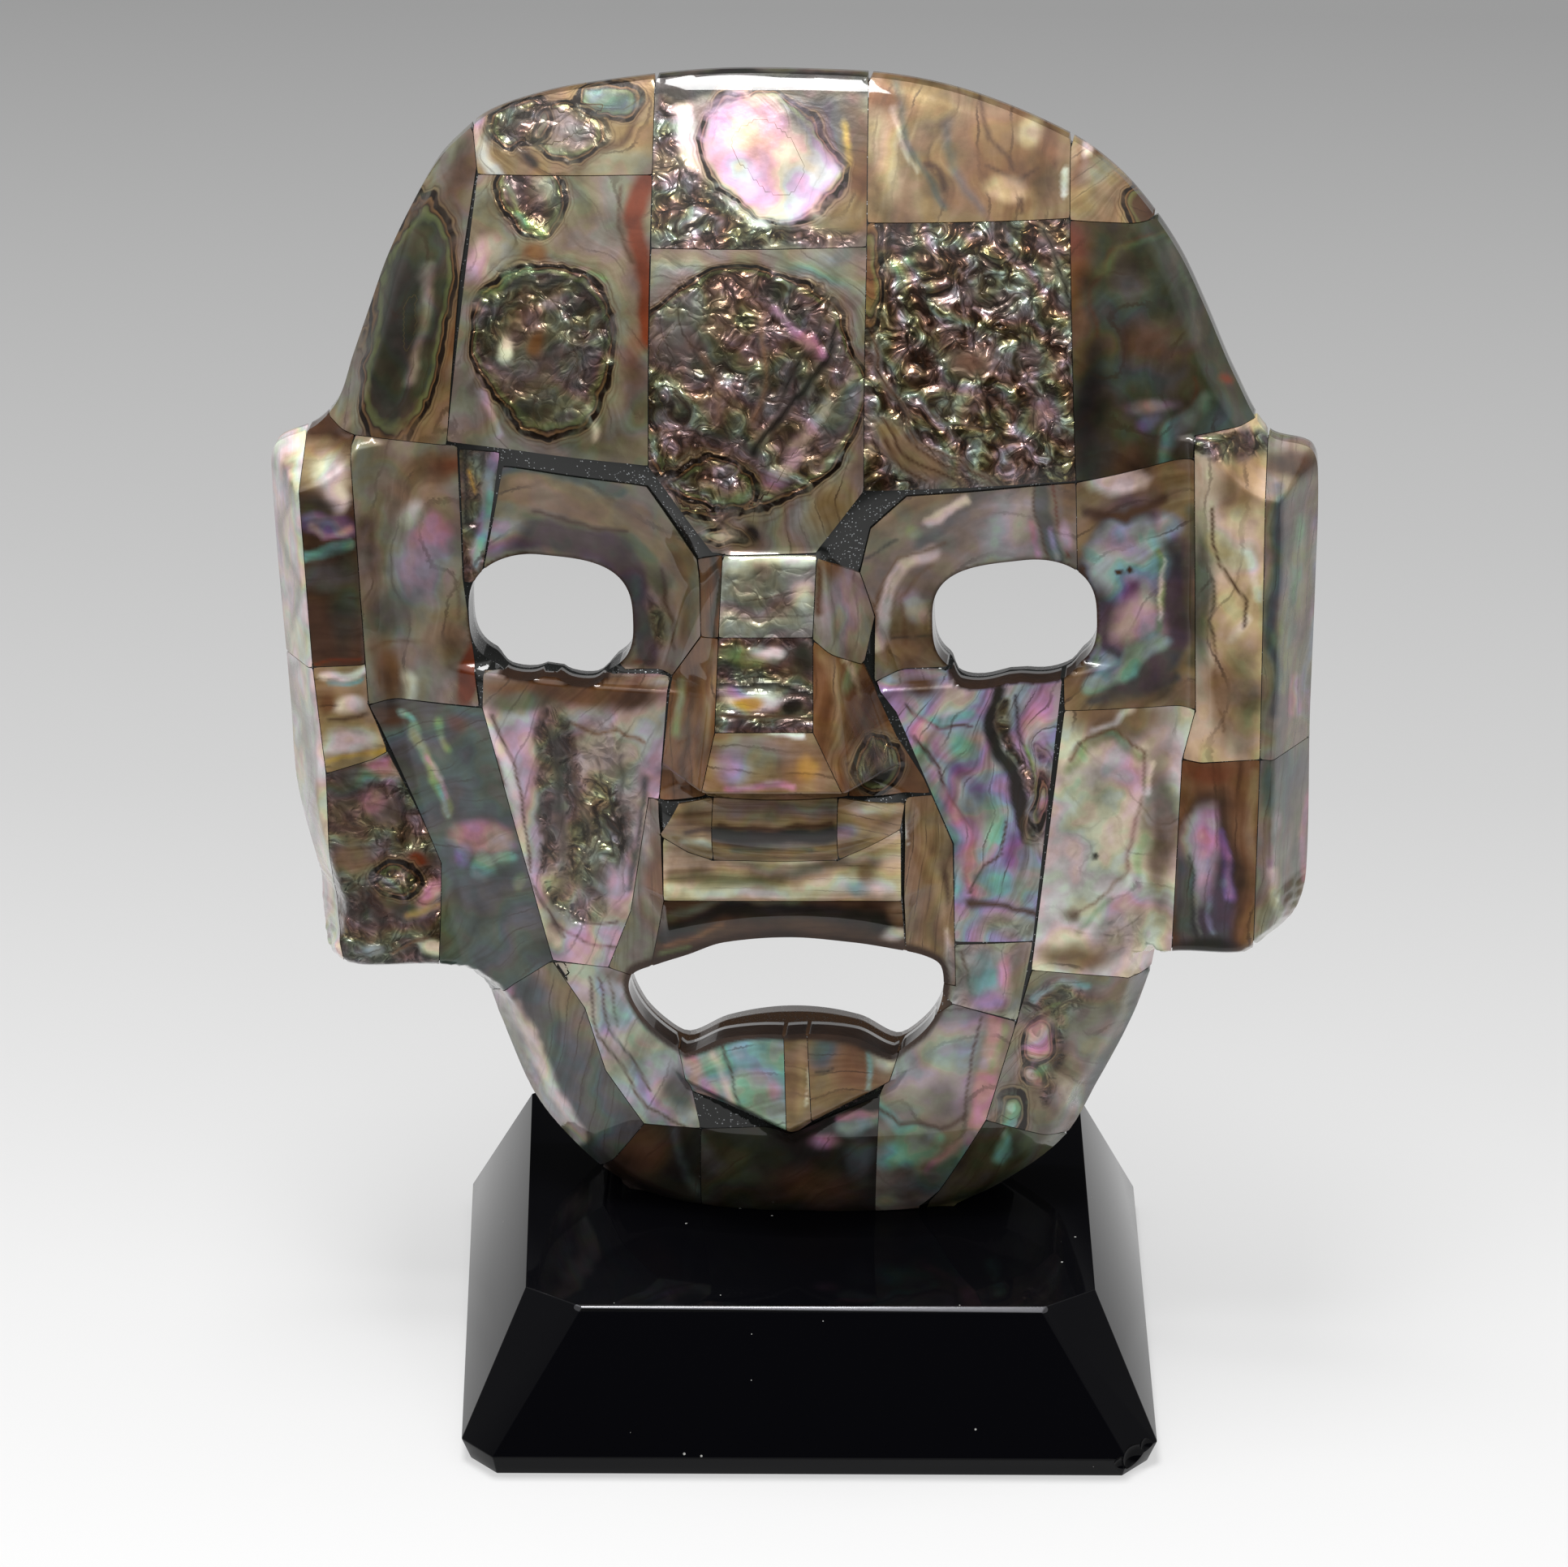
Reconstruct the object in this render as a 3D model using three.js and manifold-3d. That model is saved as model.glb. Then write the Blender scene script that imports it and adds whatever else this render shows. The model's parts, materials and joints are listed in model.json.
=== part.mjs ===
// Shell mosaic mask on a stone stand.
// Thick pieces of abalone shell are bonded to a black resin core, ground to the relief of a face
// and polished. The mask is hollow behind and stands, leaning back a little, on a black stone foot.
// Millimetres, +Z up. The origin is the middle of the stand's underside, and the face looks to -Y.
import * as THREE from 'three';
import { mergeVertices } from 'three/addons/utils/BufferGeometryUtils.js';
import Module from 'manifold-3d';

const wasm = await Module();
wasm.setup();

// The stand: a low pyramid with its point cut off and its four corners clipped
const STAND_HEIGHT = 21.3;
const STAND_TURN = THREE.MathUtils.degToRad(0.9);
const FOOT_HALF = { x: 44.7, y: 37.6 };
const FOOT_CLIP = { x: 4.1, y: 4.6 };
const FOOT_BEVEL = { inset: 1.2, height: 3.1, clip: { x: 3.4, y: 3.8 } };
const TOP_HALF = { x: 36.5, y: 30.5 };
const TOP_CLIP = { x: 7.3, y: 5 };
const TOP_BEVEL = 0.4;

// Chip out of the stand's near right foot: a pointed ball, squashed and turned, and where it bites
const CHIP = { radius: 3.2, squash: [1, 0.7, 0.6], turn: 0.7, fromSide: 4.5, fromFront: 1.2, level: 1.6 };

// How the mask stands: lean back, turn to its own right, and roll in its own plane
const LEAN = THREE.MathUtils.degToRad(8);
const TURN = THREE.MathUtils.degToRad(-4);
const ROLL = THREE.MathUtils.degToRad(2.7);
const SEAT = { x: -0.3, y: 10 };

// Gaps: under the mask, behind the shell, and half the gap between two pieces of shell
const SEAT_GAP = 0.3;
const BACK_GAP = 0.3;
const HALF_SEAM = 0.25;

// Thickness of shell over the core, of the whole wall, and the width of the flat rim behind
const SHELL = 1.4;
const RIM_SHELL = 2.2;
const WALL = 6.5;
const RIM_WIDTH = 8;

// The core keeps its shell beside every step of the face by looking this far around, and further
// beside the steep flanks of the nose
const CORE_REACH = 3.2;
const CORE_LOOKS = 8;
const NOSE_FLANK = { half: 22, low: 55, high: 96, reach: 5.5 };

// The hollow behind: how deep it goes, how steep its sides are, and how far it stays off the rim
const HOLLOW = { depth: 16, slope: 1.2, rim: -1 };

// Heights well above and well below the mask, for blocks that cut right through it
const HIGH = 60;
const DEEP = -9;

// Relief in the mask's own frame: x to the right, y up the face, and height above the rim behind
const BLANK = { top: 26, level: 95, dome: 0.0068, cheek: 0.00065, chin: 0.02, side: 0.0055 };
const CROWN = { fall: 0.0014, half: 40 };
const CHIN_LEVEL = 12;
const SOCKET = { depth: 6, slope: 0.45, floor: 72.6, step: 0.5, inner: 31, outer: 44 };
const EAR = { height: 14.5, top: 101.3, waist: 64, bottom: 32, slope: 0.8 };
const EAR_INNER = { waist: 54.5, bottom: 45.5, least: 40.5 };
const NOSE = { root: 90.5, tip: 62.3, rootHeight: 27.2, tipHeight: 36, rootHalf: 6, tipHalf: 9 };
const NOSE_SLOPES = { side: 1.9, above: 3, below: 6 };
const WINGS = { level: 55.5, half: 17.5, reach: 6.5, base: 22, swell: 8 };
const UPPER_LIP = { ridge: 45.4, height: 27, half: 15.2, foot: 36.4 };
const UPPER_LIP_SLOPES = { above: 0.25, below: 0.65, side: 1.2, ends: 3 };
const LOWER_LIP = { height: 27, point: 13.5, rise: 0.42, half: 13.5, top: 27.5 };
const LOWER_LIP_SLOPES = { fall: 0.25, side: 1.6 };
const RIM = { edge: 3.3, earSlope: 2.45, domeSlope: 2.2, domeFrom: 95, domeTo: 103 };
const JAW = { from: 20, to: 34, edge: 7, slope: 1.5 };
const UNDERSIDE = { ear: 9.5, jaw: 5.7 };

// How softly each feature runs into the face
const BLEND = { ear: 1, nose: 0.5, wings: 0.6, lips: 0.5, rim: 0.8 };

// The openings of the eyes, two rounded oblongs with a bump in the middle of their lower edge
const EYES = [
  { x: -29.4, y: 79.5, halfWidth: 10.6, halfHeight: 7.8 },
  { x: 29.7, y: 78.9, halfWidth: 10.4, halfHeight: 7.6 },
];
const EYE_POWER = 2.9;
const EYE_POINTS = 28;
const EYE_BUMP = { height: 0.8, half: 3 };

// Outline of the mask, from the middle of the chin up the left side and down the right
const OUTLINE = [
  [0, -4.2], [-9, -3.9], [-17.5, -2], [-24, 1.2], [-29.5, 5.8], [-35, 13], [-39, 23],
  [-41.2, 28.2], [-44.5, 30.8], [-57, 31], [-60.8, 32.8], [-62, 36.5], [-62.3, 42],
  [-64.8, 54.5], [-65.2, 65], [-66.3, 95.8], [-65.5, 98.8], [-60.4, 101.1], [-57.3, 104.6],
  [-55.1, 110.6], [-52.7, 117], [-50.2, 123.5], [-47, 129.9], [-43.3, 136], [-40.2, 139.2],
  [-36.8, 141.8], [-31, 143.9], [-25, 145.2], [-9, 147], [5.5, 146.9], [16, 146], [25.7, 143.5],
  [36.8, 138.5], [42.4, 134.4], [46.8, 129.4], [50.8, 123.1], [53.8, 116.4], [57.6, 107],
  [61.8, 99.4], [67, 97.6], [68, 95], [67.6, 80], [66.8, 62], [66.2, 41], [65.2, 38], [62, 35],
  [58.4, 32.8], [47.6, 32.5], [46, 28.5], [44, 23.4], [39.4, 14.5], [35, 7], [27, 0.9],
  [20.6, -2], [11, -3.8],
];
const HEIGHTS = OUTLINE.map(([, y]) => y);
const LOWEST = Math.min(...HEIGHTS) + 0.5;
const HIGHEST = Math.max(...HEIGHTS) - 0.5;

// The open mouth, whose lower edge follows the top of the lower lip
const MOUTH = [
  [-20, 32.8], [-16.5, 34.5], [-12.7, 36], [-8, 37.9], [0.5, 38.8], [8.7, 37.9], [13.7, 36.8],
  [17.6, 35.6], [19.7, 34], [19.8, 30], [18.4, 26.3], [15.5, 23.4], [13.4, 22.6], [8.6, 25.4],
  [0.4, 26.6], [-8, 25.4], [-13.4, 22.8], [-16, 24], [-19, 27], [-20.6, 30.5],
];

// Places at which the relief is sampled, closer where the face has an edge. Across, they lie at the
// edges of the nose, at its foot, at the inner edge of the ears and at the bevel round the outline.
const ACROSS = { whole: 45, noseFoot: 6.5, cheekEdge: 9, beyond: 3 };
const ACROSS_EARS = { bottom: 44, waist: 53.6 };
const ACROSS_BEVEL = { ears: 4.9, dome: 1.8 };
const CHEEK_SHARES = [0.25, 0.5, 0.75];
const LEVELS = [
  -8, -4, -0.5, 4, 8, 12, 16, 20, 24, 27.5, 31, 33.4, 36.5, 41, 45.4, 49.5, 53, 56.5, 60,
  62.2, 62.8, 67, 71.8, 73.6, 79, 85, 90.5, 92, 95.5, 98.7, 101.2, 101.9, 106, 112, 118, 124,
  130, 136, 141, 145, 147.2, 151,
];

const clamp01 = (t) => Math.min(1, Math.max(0, t));
const above = (t) => Math.max(0, t);

function ramp(value, from, to, start, end) {
  return start + (end - start) * clamp01((value - from) / (to - from));
}

function softMin(a, b, blend) {
  const share = clamp01(0.5 + (0.5 * (b - a)) / blend);
  return b + (a - b) * share - blend * share * (1 - share);
}

function softMax(a, b, blend) {
  return -softMin(-a, -b, blend);
}

// Value at x of the broken line through the points [x, value]
function along(points, x) {
  for (let i = 1; i < points.length; i += 1) {
    const [x0, y0] = points[i - 1];
    const [x1, y1] = points[i];
    if (x <= x1 || i === points.length - 1) return ramp(x, x0, x1, y0, y1);
  }
  return 0;
}

// Distance from a point to the mask's outline, and how far that stretch of it faces down
function toOutline(x, y) {
  let nearest = { distance: Infinity, down: 0 };
  OUTLINE.forEach(([ax, ay], i) => {
    const [bx, by] = OUTLINE[(i + 1) % OUTLINE.length];
    const [ex, ey] = [bx - ax, by - ay];
    const length = Math.hypot(ex, ey);
    const t = clamp01(((x - ax) * ex + (y - ay) * ey) / length ** 2);
    const distance = Math.hypot(x - ax - t * ex, y - ay - t * ey);
    if (distance < nearest.distance) nearest = { distance, down: above(-ex / length) };
  });
  return nearest;
}

// The smooth blank that the features are cut from, a little lower in the middle of the crown
function blank(x, y) {
  const crown = CROWN.fall * above(1 - (x / CROWN.half) ** 2);
  const dome = (BLANK.dome + crown) * above(y - BLANK.level) ** 2;
  const cheek = BLANK.cheek * above(BLANK.level - y) ** 2;
  const chin = BLANK.chin * above(CHIN_LEVEL - y) ** 2;
  return BLANK.top - dome - cheek - chin - BLANK.side * x * x;
}

// The brow's lower edge, pointed where it meets the nose
const BROW = [
  [-54, 106], [-40, 105.3], [-15.5, 102.3], [-8, 90.5], [5, 90.5], [11, 97.5], [15, 98.8],
  [37, 100.2], [54, 103.5],
];

// Depth of the eye sockets below the blank
function socket(x, y) {
  const fall = Math.min(SOCKET.depth, above(SOCKET.slope * (along(BROW, x) - y)));
  const sides = ramp(Math.abs(x), SOCKET.inner, SOCKET.outer, 1, 0);
  return fall * sides * ramp(y, SOCKET.floor - SOCKET.step, SOCKET.floor + SOCKET.step, 0, 1);
}

// Block of the ear, flat in front, where x is taken from the middle line outwards
function ear(x, y) {
  if (y > EAR.top || x < EAR_INNER.least) return 0;
  const inner = ramp(y, EAR.bottom, EAR.waist, EAR_INNER.bottom, EAR_INNER.waist);
  return EAR.height - EAR.slope * above(inner - x);
}

function nose(x, y) {
  const front = ramp(y, NOSE.tip, NOSE.root, NOSE.tipHeight, NOSE.rootHeight);
  const half = ramp(y, NOSE.tip, NOSE.root, NOSE.tipHalf, NOSE.rootHalf);
  const ends = NOSE_SLOPES.above * above(y - NOSE.root) + NOSE_SLOPES.below * above(NOSE.tip - y);
  return front - ends - NOSE_SLOPES.side * above(x - half);
}

function wings(x, y) {
  const round = 1 - (x / WINGS.half) ** 2 - ((y - WINGS.level) / WINGS.reach) ** 2;
  return round > 0 ? WINGS.base + WINGS.swell * Math.sqrt(round) : 0;
}

function upperLip(x, y) {
  const rise = y - UPPER_LIP.ridge;
  const face = rise > 0 ? UPPER_LIP_SLOPES.above * rise : -UPPER_LIP_SLOPES.below * rise;
  const ends = UPPER_LIP_SLOPES.ends * (above(y - WINGS.level) + above(UPPER_LIP.foot - y));
  return UPPER_LIP.height - face - UPPER_LIP_SLOPES.side * above(x - UPPER_LIP.half) - ends;
}

function lowerLip(x, y) {
  const point = LOWER_LIP.point + LOWER_LIP.rise * x - y;
  const ends = above(point) + above(x - LOWER_LIP.half) + above(y - LOWER_LIP.top);
  return LOWER_LIP.height - LOWER_LIP_SLOPES.fall * x - LOWER_LIP_SLOPES.side * ends;
}

// Height of the bevel round the outline: steep at the ears, rounder at the jaw, and hardly there
// along the undersides of the ears and the chin
function rim(x, y) {
  const { distance, down } = toOutline(x, y);
  const underside = down * ramp(y, JAW.from, JAW.to, UNDERSIDE.jaw, UNDERSIDE.ear);
  const edge = ramp(y, JAW.from, JAW.to, JAW.edge, RIM.edge) + underside;
  const dome = ramp(y, RIM.domeFrom, RIM.domeTo, RIM.earSlope, RIM.domeSlope);
  return edge + ramp(y, JAW.from, JAW.to, JAW.slope, dome) * distance;
}

// Height of the finished face above the rim behind
function relief(x, y) {
  const out = Math.abs(x);
  let height = blank(x, y) - socket(x, y);
  height = softMax(height, ear(out, y), BLEND.ear);
  height = softMax(height, nose(out, y), BLEND.nose);
  height = softMax(height, wings(out, y), BLEND.wings);
  height = softMax(height, upperLip(out, y), BLEND.lips);
  height = softMax(height, lowerLip(out, y), BLEND.lips);
  return softMin(height, rim(x, y), BLEND.rim);
}

// Height of the core: the lowest relief within reach, less the shell
function coreHeight(x, y) {
  const flank = Math.abs(x) < NOSE_FLANK.half && y > NOSE_FLANK.low && y < NOSE_FLANK.high;
  const reach = flank ? NOSE_FLANK.reach : CORE_REACH;
  let low = relief(x, y);
  for (let look = 0; look < CORE_LOOKS; look += 1) {
    const angle = (look * 2 * Math.PI) / CORE_LOOKS;
    const [dx, dy] = [reach * Math.cos(angle), reach * Math.sin(angle)];
    low = Math.min(low, relief(x + dx, y + dy), relief(x + dx / 2, y + dy / 2));
  }
  return low - SHELL;
}

// Height of the hollow behind, below zero where the rim stays flat
function hollow(x, y) {
  const follow = blank(x, y) - socket(x, y) - WALL;
  const edge = HOLLOW.slope * (toOutline(x, y).distance - RIM_WIDTH);
  return Math.max(HOLLOW.rim, Math.min(follow, edge, HOLLOW.depth));
}

// Where the outline crosses a level, on the left and on the right
function spanAt(y) {
  const level = Math.min(HIGHEST, Math.max(LOWEST, y));
  let [left, right] = [0, 0];
  OUTLINE.forEach(([ax, ay], i) => {
    const [bx, by] = OUTLINE[(i + 1) % OUTLINE.length];
    if ((ay - level) * (by - level) > 0 || ay === by) return;
    const x = ax + ((bx - ax) * (level - ay)) / (by - ay);
    left = Math.min(left, x);
    right = Math.max(right, x);
  });
  return [left, right];
}

// Places across one side at which the relief is sampled, from the middle outwards
function stations(y, width) {
  const scale = Math.min(1, width / ACROSS.whole);
  const half = scale * ramp(y, NOSE.tip, NOSE.root, NOSE.tipHalf, NOSE.rootHalf);
  const foot = half + scale * ACROSS.noseFoot;
  const ears = y > EAR.bottom && y < EAR.top;
  const earInner = ramp(y, EAR.bottom, EAR.waist, ACROSS_EARS.bottom, ACROSS_EARS.waist);
  const inner = ears ? earInner : width - scale * ACROSS.cheekEdge;
  const bevel = width - scale * (ears ? ACROSS_BEVEL.ears : ACROSS_BEVEL.dome);
  const cheek = CHEEK_SHARES.map((share) => foot + (inner - foot) * share);
  return [half, foot, ...cheek, inner, bevel, width, width + ACROSS.beyond];
}

function sampleRows(levels) {
  return levels.map((y) => {
    const [left, right] = spanAt(y);
    const leftSide = stations(y, -left).map((x) => [-x, y]);
    const rightSide = stations(y, right).map((x) => [x, y]);
    return [...leftSide.reverse(), [0, y], ...rightSide];
  });
}

// A quarter of the samples, for surfaces that nobody sees
function thinned(rows) {
  const every = (list) => list.filter((item, i) => i % 2 === 0 || i === list.length - 1);
  return every(rows).map(every);
}

// Solid from well below the mask up to a height over rows of points
function slab(rows, heightAt) {
  const across = rows[0].length;
  const count = rows.length * across;
  const top = rows.flat().flatMap(([x, y]) => [x, y, heightAt(x, y)]);
  const bottom = rows.flat().flatMap(([x, y]) => [x, y, DEEP]);
  const index = [];
  const quad = (a, b, c, d) => index.push(a, b, c, a, c, d);
  for (let r = 0; r + 1 < rows.length; r += 1) {
    for (let c = 0; c + 1 < across; c += 1) {
      const [a, b] = [r * across + c, r * across + c + 1];
      const [d, e] = [a + across, b + across];
      quad(a, b, e, d);
      quad(count + a, count + d, count + e, count + b);
    }
  }
  const edge = [];
  for (let c = 0; c < across; c += 1) edge.push(c);
  for (let r = 1; r < rows.length; r += 1) edge.push(r * across + across - 1);
  for (let c = across - 2; c >= 0; c -= 1) edge.push((rows.length - 1) * across + c);
  for (let r = rows.length - 2; r > 0; r -= 1) edge.push(r * across);
  edge.forEach((a, i) => {
    const b = edge[(i + 1) % edge.length];
    quad(count + a, count + b, b, a);
  });
  const geometry = new THREE.BufferGeometry();
  geometry.setAttribute('position', new THREE.Float32BufferAttribute([...top, ...bottom], 3));
  geometry.setIndex(index);
  return solidOf(geometry);
}

function solidOf(geometry) {
  const bare = geometry.clone();
  bare.deleteAttribute('normal');
  bare.deleteAttribute('uv');
  const merged = mergeVertices(bare, 1e-4);
  const mesh = new wasm.Mesh({
    numProp: 3,
    vertProperties: new Float32Array(merged.attributes.position.array),
    triVerts: new Uint32Array(merged.index.array),
  });
  return new wasm.Manifold(mesh);
}

function geometryOf(solid) {
  const mesh = solid.getMesh();
  const geometry = new THREE.BufferGeometry();
  geometry.setAttribute('position', new THREE.BufferAttribute(mesh.vertProperties, 3));
  geometry.setIndex(new THREE.BufferAttribute(mesh.triVerts, 1));
  geometry.computeVertexNormals();
  return geometry;
}

// Upright solid over a flat outline
function prism(points, low, high) {
  const shape = new THREE.Shape(points.map(([x, y]) => new THREE.Vector2(x, y)));
  const geometry = new THREE.ExtrudeGeometry(shape, { depth: high - low, bevelEnabled: false });
  return solidOf(geometry.translate(0, 0, low));
}

// Outline moved inwards by a distance, whichever way round its points run
function inset(points, distance) {
  const turn = THREE.ShapeUtils.area(points.map(([x, y]) => ({ x, y }))) > 0 ? 1 : -1;
  return points.map(([x, y], i) => {
    const [px, py] = points[(i + points.length - 1) % points.length];
    const [nx, ny] = points[(i + 1) % points.length];
    const before = new THREE.Vector2(x - px, y - py).normalize();
    const after = new THREE.Vector2(nx - x, ny - y).normalize();
    const normal = new THREE.Vector2(-before.y - after.y, before.x + after.x).multiplyScalar(turn);
    const reach = (2 * distance) / Math.max(normal.lengthSq(), 0.8);
    return [x + normal.x * reach, y + normal.y * reach];
  });
}

// Outline of an eye's opening
function eyeOutline(eye) {
  const points = [];
  for (let i = 0; i < EYE_POINTS; i += 1) {
    const angle = (i * 2 * Math.PI) / EYE_POINTS;
    const [c, s] = [Math.cos(angle), Math.sin(angle)];
    const x = Math.sign(c) * Math.abs(c) ** (2 / EYE_POWER);
    const y = Math.sign(s) * Math.abs(s) ** (2 / EYE_POWER);
    const bump = s < 0 ? Math.exp(-(((eye.halfWidth * x) / EYE_BUMP.half) ** 2)) : 0;
    const up = eye.halfHeight * y + EYE_BUMP.height * bump;
    points.push([eye.x + eye.halfWidth * x, eye.y + up]);
  }
  return points;
}

function paint(colour, roughness) {
  return new THREE.MeshStandardMaterial({ color: colour, roughness, metalness: 0 });
}

const PEARL = paint(0xb9b6b4, 0.2);
const CRINKLED = paint(0x6f675f, 0.25);
const CLOUDY = paint(0x8f8478, 0.2);
const RAINBOW = paint(0x9a93a6, 0.2);
const SMOKY = paint(0x565b55, 0.2);
const RESIN = paint(0x141414, 0.3);
const STONE = paint(0x050505, 0.05);

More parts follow.
